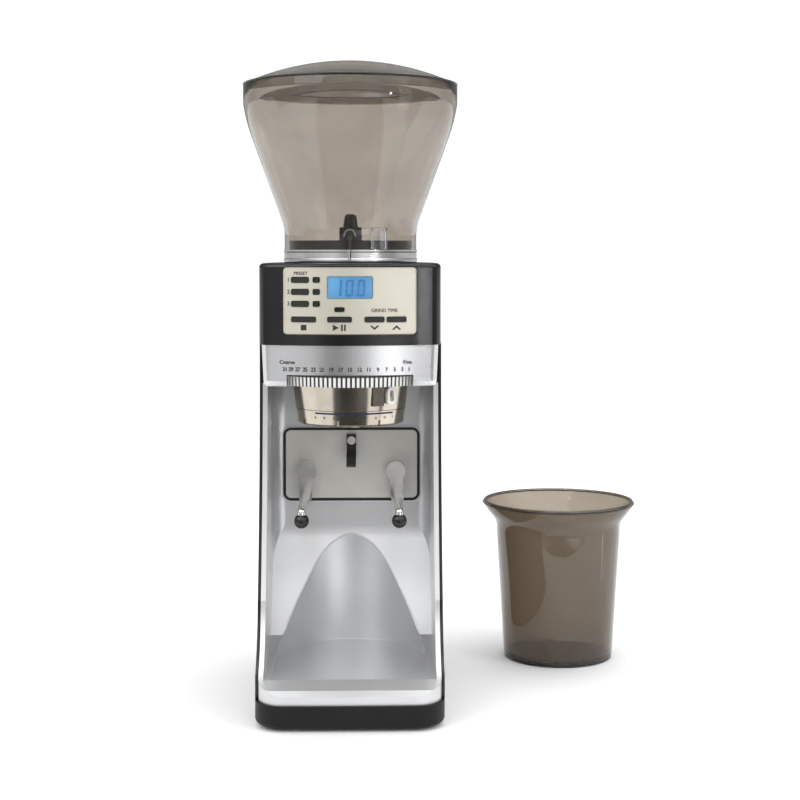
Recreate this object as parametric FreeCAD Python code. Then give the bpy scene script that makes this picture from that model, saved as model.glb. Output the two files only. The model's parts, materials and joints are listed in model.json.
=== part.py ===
import FreeCAD, Part
import math
import os

# Burr coffee grinder with a clear hopper, a removable conical burr, swinging holder arms and a grounds bin.
# Millimetres, +Z up, front towards -Y. The burr axis is x = y = 0 and the table is z = 0.

# Past every solid, for cutting tools
beyond = 420.0

# Body envelope
body_half = 53.6
body_front = -68.0
body_rear = 172.0
body_corner = 17.0
body_bulge = 0.8
side_sweep = 640.0
taper_start = 0.0
rear_bow = 80.0
rear_corner = 32.0
foot_rear = 118.0
foot_bow = 260.0
foot_corner = 15.0
rear_bend_low = 40.0
rear_bend_high = 190.0
rear_bend_ease = 10.0
side_wall = 1.4
shell_fit = 0.4
seat_gap = 0.3
run_gap = 0.05

# Base
foot_height = 1.5
foot_radius = 7.0
foot_front = (38.0, -44.0)
foot_back = (30.0, 100.0)
base_height = 14.6
base_round = 3.2
pan_floor = 4.0
pan_wall = 2.5
screw_radius = 1.5
screw_head = 3.0
screw_head_height = 1.8
boss_radius = 4.5
boss_x = 38.0
boss_y = (-25.0, 36.0)

# Front shell: channel, ramp and pocket. Ramp points count forward from the wall and up
lip_top = 22.0
lip_y = -62.0
lip_edge = 18.2
lip_wall = 2.0
sweep_mid = (-39.0, 38.0)
sweep_top = (-28.0, 65.0)
edge_mid = (-14.0, 120.0)
edge_top = (-5.0, 189.7)
channel_half = 49.0
channel_corner = 8.0
well_corner = 10.0
wall_y = 48.0
wall_back = 5.0
pocket_radius = 45.0
pocket_gap = 1.0
pocket_y = wall_y - pocket_gap - pocket_radius
pocket_floor = 24.0
pocket_front = -52.0
sill_top = 25.5
ramp_foot = (42.0, 26.0)
ramp_low = (28.5, 33.3)
ramp_bend = (17.2, 49.2)
ramp_high = (9.0, 67.0)
ramp_ease = (1.6, 88.2)
ramp_lip = (0.4, 92.9)
ramp_top = (0.0, 97.7)
floor_skin = 2.6

# Head
head_half = 52.3
head_front = -44.0
head_bulge = 12.0
head_corner = 8.5
head_bow = (head_half ** 2 + head_bulge ** 2) / (2 * head_bulge)
head_bottom = 213.6
head_top = 260.4
head_wall = 2.2
head_round = 2.5
scale_bottom = 189.7
scale_inset = 1.4
scale_draft = 0.9
scale_round = 1.6
slot_half = 36.2
slot_top = 196.6

# Control panel, measured across the front and up from the table
panel_half = 37.8
panel_low = 220.2
panel_high = 258.0
panel_corner = 2.2
panel_proud = 0.8
panel_thick = 2.4
panel_flange = 2.0
panel_rim = 1.5
panel_clear = 0.2
panel_reveal = 0.5
button_gap = 0.25
button_proud = 1.5
button_corner = 0.6
button_travel = 0.8
keys_left = -33.1
preset_width = 9.7
preset_height = 2.9
preset_pitch = 6.8
preset_drop = 8.5
light_gap = 2.6
light_width = 3.7
status_width = 5.4
status_height = 2.3
status_gap = 3.1
key_rise = 7.0
key_height = 2.7
stop_width = 13.7
start_gap = 6.9
start_width = 13.4
time_gap = 7.7
time_width = 10.8
time_pair_gap = 1.7
display_gap = 4.5
display_width = 25.4
display_height = 12.1
display_drop = 5.3
preset_span = (keys_left, keys_left + preset_width)
preset_lows = [panel_high - preset_drop - k * preset_pitch for k in range(3)]
preset_rows = [(low, low + preset_height) for low in preset_lows]
light_span = (preset_span[1] + light_gap, preset_span[1] + light_gap + light_width)
key_row = (panel_low + key_rise, panel_low + key_rise + key_height)
stop_span = (keys_left, keys_left + stop_width)
start_span = (stop_span[1] + start_gap, stop_span[1] + start_gap + start_width)
down_span = (start_span[1] + time_gap, start_span[1] + time_gap + time_width)
up_span = (down_span[1] + time_pair_gap, down_span[1] + time_pair_gap + time_width)
status_x = (start_span[0] + start_span[1]) / 2
status_span = (status_x - status_width / 2, status_x + status_width / 2)
status_row = (key_row[1] + status_gap, key_row[1] + status_gap + status_height)
display_span = (light_span[1] + display_gap, light_span[1] + display_gap + display_width)
display_rows = (panel_high - display_drop - display_height, panel_high - display_drop)
display_thick = 1.6
board_y = -34.0
board_thick = 1.6
board_half = 34.0
board_rows = (222.5, 254.0)
post_radius = 1.8
post_x = 32.0
post_rows = (223.9, 232.4)

# Hopper: heights stack up from the head, radii count in from the rim and the neck
rim_radius = 63.2
neck_radius = 39.0
hopper_wall = 2.5
collar_gap = 1.1
collar_height = 6.5
neck_height = 13.0
cone_height = 52.0
shoulder_height = 21.0
shoulder_mid_height = 12.0
shoulder_step = 5.5
shoulder_mid_step = 1.8
rim_height = 10.6
collar_low = head_top + collar_gap
neck_low = collar_low + collar_height
neck_top = neck_low + neck_height
shoulder_low = (rim_radius - shoulder_step, neck_top + cone_height)
shoulder_mid = (rim_radius - shoulder_mid_step, shoulder_low[1] + shoulder_mid_height)
rim_low = shoulder_low[1] + shoulder_height
rim_top = rim_low + rim_height
collar_proud = 0.2
collar_lip = 0.4
collar_bead = 1.0
collar_groove = 1.6
ring_thick = 0.8
ring_clear = 2.0
index_half = 0.9
index_proud = 1.0
index_height = 8.5
index_knob_radius = 1.7
index_knob_length = 2.2
lid_rise = 14.2
lid_edge_rise = 1.0
lid_edge_step = 1.5
lid_thick = 2.2
lid_flange_depth = 5.0
lid_flange_wall = 2.0
lid_clear = 0.5
lid_round = 0.6
lid_top = rim_top + lid_rise
lid_edge = (rim_radius - lid_edge_step, rim_top + lid_edge_rise)
spigot_step = 8.4
spigot_wall = 2.0
spigot_depth = 2.9
spigot_radius = neck_radius - spigot_step
spigot_low = head_top - spigot_depth
gate_thick = 3.0
gate_clear = 0.2
gate_rim_height = 5.4
gate_rim_top = neck_low + gate_rim_height
gate_rim_wall = 1.8
port_inner = 8.0
port_margin = 2.6
port_outer = spigot_radius - port_margin
port_angle = 80.0
shutter_thick = 1.5
knob_radius = 7.2
knob_height = 21.4
knob_top = neck_low + knob_height
knob_tip = 3.6
knob_foot = 4.0
knob_bend = 0.9
knob_neck = 8.0
knob_round = 2.0
grip_half = 1.4
grip_inset = 0.6
pin_radius = 2.5
pin_depth = 9.5
pin_head_height = 2.4

# Throat
throat_radius = 17.5
throat_wall = 2.0
throat_low = 222.6
throat_neck = 244.0
throat_flange_width = 5.4
throat_flange_thick = 2.2

# Gear train
gear_module = 1.1
drive_teeth = 60
idler_small_teeth = 26
idler_big_teeth = 44
pinion_teeth = 12
flank_clearance = 0.12
idler_y = gear_module * (drive_teeth + idler_small_teeth) / 2
motor_y = idler_y + gear_module * (idler_big_teeth + pinion_teeth) / 2
gear_low = 205.0
gear_width = 8.0
upper_gear_low = 223.0
upper_gear_width = 6.0
tray_low = 198.0
tray_floor = 3.0
tray_wall = 2.5
tray_radius = 39.4
tray_rear_radius = 27.0
tray_hole = 31.5
deck_low = 214.0
deck_thick = 3.0
bearing_width = 6.0
bearing_wall = 4.9
bearing_lip = 1.0
hub_radius = 30.0
idler_hub = 8.0
idler_pin = 3.0
pinion_hub = 5.0
shaft_radius = 2.5
motor_radius = 24.4
motor_low = 128.0
motor_cap = 4.0
motor_screw_x = 15.0
motor_screw_depth = 9.0
shaft_depth = 12.0
shaft_top = 2.0
gearbox_screw_shares = (0.55, 1.0)
gearbox_post = 2.4

# Burrs
ring_radius = 26.0
ring_low = 201.0
ring_top = 221.0
cone_radius = 20.0
cone_low = 199.0
cone_shoulder = 204.0
cone_top_radius = 9.0
burr_gap = 1.3
burr_teeth = 24
tooth_depth = 1.3
burr_twist = 30.0
bolt_radius = 4.0
bolt_head = 6.0
bolt_head_height = 4.0

# Adjustment rings, carrier and chute
macro_radius = 45.6
macro_skirt = 2.0
macro_web = 1.6
macro_clear = 0.5
macro_wall = 2.6
macro_taper = 0.4
macro_ribs = 106
macro_edge = 1.0
rib_depth = 1.0
carrier_top_radius = 34.3
carrier_low_radius = 32.6
carrier_top = 196.6
carrier_low = 175.2
carrier_wall = 3.0
hub_outer = 9.0
arm_width = 5.0
carrier_arm_low = 186.0
micro_low = 166.0
micro_low_radius = 31.5
micro_chamfer = 1.0
micro_notches = 8
notch_half = 0.7
notch_depth = 0.9
notch_height = 3.6
notch_angle = -13.0
micro_wall = 3.4
micro_floor = 2.5
chute_radius = 14.5
chute_wall = 2.0
chute_low = 164.0
carrier_floor = 2.0
carrier_skin = 0.8
skirt_wall = 2.0
tab_angle = 28.0
tab_half = 3.6
tab_proud = 0.5
tab_rise = 2.8
loop_angle = 42.0
loop_half = 3.4
loop_corner = 2.8
loop_bar = 2.0
loop_thick = 1.8
loop_rise = 3.4
loop_foot = 1.2

# Holder plate, arms and hook
plate_half = 41.0
plate_low = 112.9
plate_high = 155.4
plate_proud = 0.4
recess_depth = 2.2
gasket_width = 1.8
holder_corner = 3.0
arm_pivot = (27.5, 131.0)
arm_rod = (28.5, 115.0)
rod_radius = 2.5
knuckle_wall = 1.5
rod_front = -20.0
crank_front = 36.0
crank_thick = 4.0
pivot_radius = 6.0
pivot_pin = 2.5
tip_radius = 4.4
tip_drop = 5.0
hook_half = 2.9
hook_low = 138.0
hook_high = 153.0
hook_pad = 4.2
hook_reach = 20.0
hook_root = 9.0
hook_nose = 2.6
hook_head_height = 1.6
hook_screw_z = 149.6
hook_slot = (142.0, 152.2)
hook_screw_head = 2.6

# Electrics
supply_half = 34.0
supply_rows = (40.0, 108.0)
supply_gap = 9.0
supply_thick = 1.6
supply_post = 3.0
supply_edge = 6.0
supply_part_x = 18.0
can_radius = 6.0
can_height = 18.0
can_space = 4.0
can_sink = 0.2
transformer_size = 22.0
transformer_depth = 12.0
switch_x = 11.5
switch_z = 26.0
switch_half = 9.5
switch_high = 6.5
switch_frame_wall = 1.6
switch_depth = 12.0
switch_floor = 2.0
bezel_size = 1.2
rocker_gap = 0.6
rocker_proud = 2.2
rocker_dip = 0.8
rocker_waist = 1.0
rocker_keel = 5.0
rocker_foot = 2.4
rocker_axis = 2.6
rocker_pin = 1.2
rocker_pin_length = 0.8
gland_x = -15.0
gland_radius = 5.5
gland_bore = 3.4
gland_depth = 9.0
gland_lip = 1.5
gland_flange = 2.0
gland_nut = 3.0

# Grounds bin, standing beside the grinder
bin_x = 136.0
bin_y = 98.0
bin_height = 103.5
bin_low_radius = 35.7
bin_neck_radius = 41.0
bin_rim_radius = 49.3
bin_neck = 89.5
bin_rim_edge = 2.6
bin_wall = 2.2
bin_floor = 3.0
bin_round = 3.0

X = FreeCAD.Vector(1, 0, 0)
Y = FreeCAD.Vector(0, 1, 0)
Z = FreeCAD.Vector(0, 0, 1)


def vec(x, y, z):
    return FreeCAD.Vector(x, y, z)


def polar(radius, degrees):
    angle = math.radians(degrees)
    return radius * math.cos(angle), radius * math.sin(angle)


def cylinder(radius, low, high, x=0.0, y=0.0):
    return Part.makeCylinder(radius, high - low, vec(x, y, low))


def tube(inner, outer, low, high, x=0.0, y=0.0):
    return cylinder(outer, low, high, x, y).cut(cylinder(inner, low, high, x, y))


def rod_y(radius, front, back, x, z):
    return Part.makeCylinder(radius, back - front, vec(x, front, z), Y)


def box(x, y, z):
    return Part.makeBox(x[1] - x[0], y[1] - y[0], z[1] - z[0], vec(x[0], y[0], z[0]))


def fuse(shapes):
    return shapes[0].multiFuse(shapes[1:]).removeSplitter()


# A closed face from a path of line-to points (a, b) and arc-to steps (via a, via b, a, b)
def face(path, place):
    edges = []
    last = place(*path[0])
    for step in path[1:] + [path[0]]:
        end = place(*step[-2:])
        if len(step) == 4:
            edges.append(Part.Arc(last, place(*step[:2]), end).toShape())
        elif last.distanceToPoint(end) > 1e-6:
            edges.append(Part.LineSegment(last, end).toShape())
        last = end
    return Part.Face(Part.Wire(edges))


def turned(path):
    return face(path, lambda r, z: vec(r, 0, z)).revolve(vec(0, 0, 0), Z, 360)


def side_slab(path, half):
    return face(path, lambda y, z: vec(-half, y, z)).extrude(vec(2 * half, 0, 0))


# A rectangle whose lower corners, and upper ones if they differ, have these radii
def rounded_rect(x, z, corner, upper=None):
    top = corner if upper is None else upper
    cut, top_cut = (r * (1 - math.sqrt(0.5)) for r in (corner, top))
    return [(x[0] + corner, z[0]), (x[1] - corner, z[0]), (x[1] - cut, z[0] + cut, x[1], z[0] + corner),
            (x[1], z[1] - top), (x[1] - top_cut, z[1] - top_cut, x[1] - top, z[1]),
            (x[0] + top, z[1]), (x[0] + top_cut, z[1] - top_cut, x[0], z[1] - top),
            (x[0], z[0] + corner), (x[0] + cut, z[0] + cut, x[0] + corner, z[0])]


def front_slab(x, z, corner, front, back):
    outline = face(rounded_rect(x, z, corner), lambda a, b: vec(a, front, b))
    return outline.extrude(vec(0, back - front, 0))


# The centre of a corner of given radius that touches the side sweep and the rear bow from inside
def rear_corner_centre(half, rear, bow, corner):
    side = vec(half - side_sweep, taper_start, 0)
    back = vec(0, rear - bow, 0)
    apart = back - side
    along = ((side_sweep - corner) ** 2 - (bow - corner) ** 2 + apart.Length ** 2) / (2 * apart.Length)
    across = math.sqrt((side_sweep - corner) ** 2 - along ** 2)
    unit = apart / apart.Length
    return side, back, side + unit * along + vec(-unit.y, unit.x, 0) * across


# A point on a circle about one centre, in the direction halfway between or along two others
def reach(centre, radius, *towards):
    aim = vec(0, 0, 0)
    for point in towards:
        aim = aim + (point - centre) / (point - centre).Length
    spot = centre + aim * (radius / aim.Length)
    return spot.x, spot.y


def mirrored(step):
    return tuple(-v if k % 2 == 0 else v for k, v in enumerate(step))


# Plan outline: bowed front, round front corners, sides that close in, round rear corners and a bowed rear
def plan(half, front, bulge, corner, rear, rear_bow, rear_corner, inset=0.0):
    bow = (half ** 2 + bulge ** 2) / (2 * bulge)
    bow_y = front + bow
    corner_y = bow_y - math.sqrt((bow - corner) ** 2 - (half - corner) ** 2)
    turn = vec(half - corner, corner_y, 0)
    ahead = turn * 2 - vec(0, bow_y, 0)
    side_end = (half - inset, corner_y)
    front_end = reach(turn, corner - inset, ahead)
    front_mid = reach(turn, corner - inset, ahead, turn + X)
    side, back, nook = rear_corner_centre(half, rear, rear_bow, rear_corner)
    from_side = nook * 2 - side
    from_back = nook * 2 - back
    rear_start = reach(nook, rear_corner - inset, from_side)
    rear_mid = reach(nook, rear_corner - inset, from_side, from_back)
    rear_end = reach(nook, rear_corner - inset, from_back)
    sweep_mid = reach(side, side_sweep - inset, side + X, nook)
    right = [side_end, (half - inset, taper_start), sweep_mid + rear_start, rear_mid + rear_end]
    left = [mirrored(rear_end), mirrored(rear_mid + rear_start),
            mirrored(sweep_mid) + (inset - half, taper_start), mirrored(side_end),
            mirrored(front_mid + front_end)]
    left[0] = (0, rear - inset) + left[0]
    return right + left + [(0, front + inset) + front_end, front_mid + side_end]


def plan_face(path, z):
    return face(path, lambda x, y: vec(x, y, z))


# The rear leans out between its two bends, which are eased over a short height
def body_plan(inset=0.0, z=0.0):
    lean = (body_rear - foot_rear) / (rear_bend_high - rear_bend_low)
    share = min(max((z - rear_bend_low) / (rear_bend_high - rear_bend_low), 0), 1)
    ease = lean * rear_bend_ease / 4
    bend = ease * (abs(z - rear_bend_low) < 1e-6) - ease * (abs(z - rear_bend_high) < 1e-6)
    rear = foot_rear + share * (body_rear - foot_rear) + bend
    bow = foot_bow + share * (rear_bow - foot_bow)
    corner = foot_corner + share * (rear_corner - foot_corner)
    return plan(body_half, body_front, body_bulge, body_corner, rear, bow, corner, inset)


def head_plan(inset=0.0):
    return plan(head_half, head_front, head_bulge, head_corner, body_rear, rear_bow, rear_corner, inset)


# The column and base envelope between two heights
def body_solid(inset, low, high):
    bends = [z + k * rear_bend_ease for z in (rear_bend_low, rear_bend_high) for k in (-1, 0, 1)]
    levels = [low] + [z for z in bends if low < z < high] + [high]
    wires = [plan_face(body_plan(inset, z), z).OuterWire for z in levels]
    return Part.makeLoft(wires, True, True)


# Everything in front of the swept front edges of the sides
def front_clear(half):
    far = -beyond
    path = [(body_front, lip_edge), (lip_y, lip_top), sweep_mid + sweep_top, edge_mid + edge_top,
            (edge_top[0], head_bottom + 5), (far, head_bottom + 5), (far, lip_edge)]
    return side_slab(path, half)


# Everything behind a depth
def behind(y):
    return box((-beyond, beyond), (y, y + beyond), (0, beyond))


def make_base():
    pan = plan_face(body_plan(), foot_height).extrude(vec(0, 0, base_height - foot_height))
    pan = pan.makeFillet(base_round, [e for e in pan.Edges if e.BoundBox.ZMax < foot_height + 1e-6])
    pan = pan.cut(body_solid(pan_wall, foot_height + pan_floor, base_height + 1))
    for x, y in boss_places():
        pan = pan.cut(cylinder(screw_radius + run_gap, foot_height, foot_height + pan_floor + 1, x, y))
        pan = pan.cut(cylinder(screw_head + run_gap, foot_height, foot_height + screw_head_height, x, y))
    return pan


def boss_places():
    return [(side * boss_x, y) for side in (-1, 1) for y in boss_y]


def make_feet():
    places = [(side * x, y) for side in (-1, 1) for x, y in (foot_front, foot_back)]
    return Part.makeCompound([cylinder(foot_radius, 0, foot_height, x, y) for x, y in places])


def make_case_screws():
    seat = foot_height + screw_head_height
    top = pocket_floor - floor_skin - 1
    screws = []
    for x, y in boss_places():
        head = cylinder(screw_head, foot_height + 0.2, seat, x, y)
        screws.append(head.fuse(cylinder(screw_radius, seat, top, x, y)))
    return Part.makeCompound(screws)


def from_wall(*points):
    return tuple(v for deep, z in points for v in (wall_y - deep, z))


def ramp_path(high):
    front = body_front - 5
    return [(front, lip_top), (lip_y, lip_top), (pocket_front, sill_top), from_wall(ramp_foot),
            from_wall(ramp_low), from_wall(ramp_bend, ramp_high), from_wall(ramp_ease),
            from_wall(ramp_lip, ramp_top), (wall_y, high), (front, high)]


def make_front_shell():
    inset = side_wall + shell_fit
    shell = plan_face(body_plan(inset), base_height).extrude(vec(0, 0, scale_bottom - base_height))
    shell = shell.cut(behind(wall_y + wall_back)).cut(front_clear(beyond))
    well = rounded_rect((-channel_half, channel_half), (lip_y, wall_y), well_corner, channel_corner)
    well = plan_face(well, 0).extrude(vec(0, 0, scale_bottom + 5))
    shell = shell.cut(well.common(side_slab(ramp_path(scale_bottom + 5), channel_half + 5)))
    pocket = cylinder(pocket_radius, pocket_floor, scale_bottom, 0, pocket_y)
    lane = box((-pocket_radius, pocket_radius), (pocket_front, pocket_y), (pocket_floor, scale_bottom))
    shell = shell.cut(pocket.fuse(lane))
    hollow = plan_face(body_plan(inset + pan_wall), base_height).extrude(
        vec(0, 0, pocket_floor - floor_skin - base_height))
    shell = shell.cut(hollow.common(box((-beyond, beyond), (lip_y + lip_wall, wall_y), (0, pocket_floor))))
    foot = foot_height + pan_floor
    shell = fuse([shell] + [cylinder(boss_radius, foot, pocket_floor - 1, x, y) for x, y in boss_places()])
    for x, y in boss_places():
        shell = shell.cut(cylinder(screw_radius + run_gap, 0, pocket_floor - floor_skin, x, y))
    outer = plate_half + gasket_width
    shell = shell.cut(front_slab((-outer, outer), (plate_low - gasket_width, plate_high + gasket_width),
                                 holder_corner + gasket_width, wall_y - 1, wall_y + recess_depth))
    back = wall_y + wall_back
    posts = [rod_y(supply_post, wall_y, back + supply_gap, side * (supply_half - supply_edge), z)
             for side in (-1, 1) for z in grown(supply_rows, -supply_edge)]
    return fuse([shell] + posts)


def make_rear_shell():
    shell = body_solid(0.0, base_height, head_bottom)
    shell = shell.cut(body_solid(side_wall, base_height - 5, head_bottom + 5))
    shell = shell.cut(front_clear(beyond))
    shell = shell.cut(box((-beyond, beyond), (-beyond, body_front + body_corner), (0, beyond)))
    wide = grown((switch_x, switch_x), switch_half + switch_frame_wall)
    high = grown((switch_z, switch_z), switch_high + switch_frame_wall)
    deep = grown((foot_rear, foot_rear), switch_depth / 2)
    shell = shell.cut(box(wide, deep, high))
    return shell.cut(rod_y(gland_radius, *deep, gland_x, switch_z))


def make_head_cover():
    cover = plan_face(head_plan(), head_bottom).extrude(vec(0, 0, head_top - head_bottom))
    top = [e for e in cover.Edges if abs(e.BoundBox.ZMin - head_top) < 1e-6]
    cover = cover.makeFillet(head_round, top)
    inner = plan_face(head_plan(head_wall), head_bottom - 1)
    cover = cover.cut(inner.extrude(vec(0, 0, head_top - head_wall - head_bottom + 1)))
    cover = cover.cut(cylinder(spigot_radius + shell_fit, head_bottom, head_top + 1))
    wide = panel_half + panel_reveal
    hole = front_slab((-wide, wide), (panel_low - panel_reveal, panel_high + panel_reveal),
                      panel_corner + panel_reveal, head_front - 5, board_y)
    return cover.cut(hole)


# Ends of the straight side that joins the tray's front and rear circles
def stadium_side(inset):
    front = tray_radius - inset
    back = tray_rear_radius - inset
    lean = math.asin((front - back) / motor_y)
    return [(r * math.cos(lean), y + r * math.sin(lean)) for r, y in ((front, 0), (back, motor_y))]


def stadium(inset, low, high):
    (fx, fy), (bx, by) = stadium_side(inset)
    path = [(fx, fy), (bx, by), (0, motor_y + tray_rear_radius - inset, -bx, by), (-fx, fy),
            (0, inset - tray_radius, fx, fy)]
    return plan_face(path, low).extrude(vec(0, 0, high - low))


def make_scale_housing():
    levels = [(scale_bottom, scale_inset + scale_draft + scale_round),
              (scale_bottom + 0.4 * scale_round, scale_inset + scale_draft + 0.4 * scale_round),
              (scale_bottom + 2 * scale_round, scale_inset + scale_draft),
              (head_bottom, scale_inset)]
    wires = [plan_face(head_plan(inset), z).OuterWire for z, inset in levels]
    housing = Part.makeLoft(wires, True, True)
    housing = housing.cut(behind(wall_y + wall_back))
    housing = housing.cut(cylinder(macro_radius + shell_fit, scale_bottom - 1, slot_top))
    housing = housing.cut(cylinder(macro_hub()[1] + shell_fit, scale_bottom, tray_low))
    housing = housing.cut(stadium(-shell_fit, tray_low, head_bottom + 1))
    slot = box((-slot_half, slot_half), (head_front - 5, 0), (scale_bottom - 5, slot_top))
    return housing.cut(slot)


# A patch of the bowed head front between two depths, counted outwards from that face
def front_patch(x, z, corner, inner, outer):
    slab = front_slab(x, z, corner, head_front - 10, board_y + 2)
    skin = tube(head_bow + inner, head_bow + outer, z[0] - 5, z[1] + 5, 0, head_front + head_bow)
    return slab.common(skin)


def grown(span, gap):
    return (span[0] - gap, span[1] + gap)


def light_places():
    places = [(light_span, row) for row in preset_rows]
    return places + [(status_span, status_row)]


def key_places():
    keys = {f"preset_button_{n + 1}": (preset_span, row) for n, row in enumerate(preset_rows)}
    keys["stop_button"] = (stop_span, key_row)
    keys["start_button"] = (start_span, key_row)
    keys["time_down_button"] = (down_span, key_row)
    keys["time_up_button"] = (up_span, key_row)
    return keys


def make_panel():
    inner = panel_proud - panel_thick
    wide = (-panel_half, panel_half)
    top = panel_high - panel_clear
    plate = front_patch(wide, (panel_low, panel_high), panel_corner, inner, panel_proud)
    rim = front_patch(grown(wide, panel_flange), (panel_low - panel_flange, top), panel_corner,
                      -head_wall - panel_rim, -head_wall)
    neck = front_patch(wide, (panel_low, top), panel_corner, -head_wall, inner)
    posts = [rod_y(post_radius, head_front, board_y, side * post_x, z)
             for side in (-1, 1) for z in post_rows]
    inside = cylinder(head_bow - head_wall, panel_low, panel_high, 0, head_front + head_bow)
    panel = fuse([plate, neck, rim] + [p.common(inside) for p in posts])
    for x, z in list(key_places().values()) + light_places():
        panel = panel.cut(front_slab(grown(x, button_gap), grown(z, button_gap), button_corner + button_gap,
                                     head_front - 5, board_y))
    glass = front_slab(grown(display_span, button_gap), grown(display_rows, button_gap),
                       button_corner + button_gap, head_front - 5, board_y)
    return panel.cut(glass)


# A block behind the bowed face of the head, or proud of it
def bowed_block(x, z, proud, back):
    slab = front_slab(x, z, button_corner, head_front - 10, back)
    return slab.common(cylinder(head_bow + proud, z[0] - 5, z[1] + 5, 0, head_front + head_bow))


def make_key(x, z):
    return bowed_block(x, z, button_proud, board_y - button_travel - seat_gap)


def make_lights():
    return Part.makeCompound([bowed_block(x, z, panel_proud, board_y) for x, z in light_places()])


def make_display():
    inner = panel_proud - display_thick
    window = front_patch(display_span, display_rows, button_corner, inner, panel_proud)
    edge = max(abs(display_span[0]), abs(display_span[1]))
    front = head_front + head_bow - math.sqrt((head_bow + inner) ** 2 - edge ** 2)
    module = front_slab(display_span, display_rows, button_corner, front, board_y)
    return window, module


def make_board():
    return box((-board_half, board_half), (board_y, board_y + board_thick), board_rows)


def make_hopper():
    outer = [(neck_radius, neck_low), (neck_radius, neck_top), shoulder_low,
             shoulder_mid + (rim_radius, rim_low), (rim_radius, rim_top)]
    thin = [(r - hopper_wall, z) for r, z in ((rim_radius, rim_top), (rim_radius, rim_low))]
    bend = (shoulder_mid[0] - hopper_wall, shoulder_mid[1], shoulder_low[0] - hopper_wall, shoulder_low[1])
    inner = thin + [bend, (neck_radius - hopper_wall, neck_top), (neck_radius - hopper_wall, neck_low)]
    shell = turned(outer + inner)
    inside = index_proud - neck_radius
    top = neck_low + index_height
    rib = box((-index_half, index_half), (inside - 2 * index_proud, inside), (neck_low, top))
    knob = rod_y(index_knob_radius, inside - index_knob_length, inside, 0, top)
    return fuse([shell, rib, knob])


def make_collar():
    outer = neck_radius + collar_proud
    inner = neck_radius - hopper_wall + seat_gap
    lip = outer + collar_lip
    return turned([(inner, collar_low), (lip, collar_low), (lip, collar_low + collar_bead),
                   (outer, collar_low + collar_groove), (outer, neck_low - collar_groove),
                   (lip, neck_low - collar_bead), (lip, neck_low), (inner, neck_low)])


def make_lid():
    skirt = rim_top + seat_gap
    plug = rim_radius - hopper_wall - lid_clear
    dome = (lid_edge[0] ** 2 + (lid_top - lid_edge[1]) ** 2) / (2 * (lid_top - lid_edge[1]))
    mid = lid_edge[0] / 2
    mid_z = lid_top - dome + math.sqrt(dome ** 2 - mid ** 2)
    hollow = plug - lid_flange_wall
    low = dome - lid_thick
    under = [(r, lid_top - dome + math.sqrt(low ** 2 - r ** 2)) for r in (hollow, hollow / 2, 0)]
    turn = (rim_radius - 0.6 * lid_round, lid_edge[1] - lid_round, rim_radius, skirt)
    return turned([(0, lid_top), (mid, mid_z) + lid_edge, turn, (plug, skirt),
                   (plug, rim_top - lid_flange_depth), (hollow, rim_top - lid_flange_depth), under[0],
                   under[1] + under[2]])


def port(low, high, centre):
    half = port_angle / 2
    a, b, c = (polar(port_inner, centre + k * half) for k in (-1, 0, 1))
    d, e, f = (polar(port_outer, centre + k * half) for k in (-1, 0, 1))
    return plan_face([a, d, e + f, c, b + a], low).extrude(vec(0, 0, high - low))


def make_gate():
    plate = cylinder(neck_radius - hopper_wall, collar_low, collar_low + gate_thick)
    rim_outer = neck_radius - hopper_wall - gate_clear
    rim = tube(rim_outer - gate_rim_wall, rim_outer, collar_low + gate_thick, gate_rim_top)
    spigot = tube(spigot_radius - spigot_wall, spigot_radius, spigot_low, collar_low)
    gate = fuse([plate, rim, spigot])
    for centre in (0, 180):
        gate = gate.cut(port(collar_low - 1, collar_low + gate_thick + 1, centre))
    return gate.cut(cylinder(pin_radius + run_gap, collar_low - 1, collar_low + gate_thick + 1))


def make_shutter():
    low = collar_low + gate_thick + seat_gap
    top = low + shutter_thick
    disc = cylinder(neck_radius - hopper_wall - gate_clear - gate_rim_wall - seat_gap, low, top)
    for centre in (0, 180):
        disc = disc.cut(port(low - 1, top + 1, centre))
    disc = disc.cut(cylinder(pin_radius, low - 1, top + 1))
    bore = top + pin_depth + seat_gap
    ease = 0.3 * knob_round
    crown = (knob_tip - ease, knob_top - ease, knob_tip - knob_round, knob_top)
    knob = turned([(pin_radius, top), (knob_radius, top), (knob_radius, top + knob_foot),
                   (knob_tip + knob_bend, knob_top - knob_neck), (knob_tip, knob_top - knob_round), crown,
                   (0, knob_top), (0, bore), (pin_radius, bore)])
    wide = knob_radius - grip_inset
    grip = box((-wide, wide), (-grip_half, grip_half), (top + grip_half, knob_top - knob_neck))
    knob = fuse([knob, grip.cut(cylinder(pin_radius, low, bore))])
    under = collar_low - seat_gap
    head = cylinder(2 * pin_radius, under - pin_head_height, under)
    screw = head.fuse(cylinder(pin_radius, under, top + pin_depth)).removeSplitter()
    return disc, knob, screw


def make_hopper_ring():
    return tube(spigot_radius + ring_clear, neck_radius + collar_proud, head_top, head_top + ring_thick)


def make_throat():
    under = head_top - head_wall
    shelf = under - throat_flange_thick
    wide = spigot_radius + shell_fit
    outer = throat_radius + throat_wall
    flange = spigot_radius + throat_flange_width
    return turned([(throat_radius, throat_low), (outer, throat_low), (outer, throat_neck),
                   (wide + throat_wall, shelf), (flange, shelf), (flange, under), (wide, under),
                   (wide, shelf), (throat_radius, throat_neck)])


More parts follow.
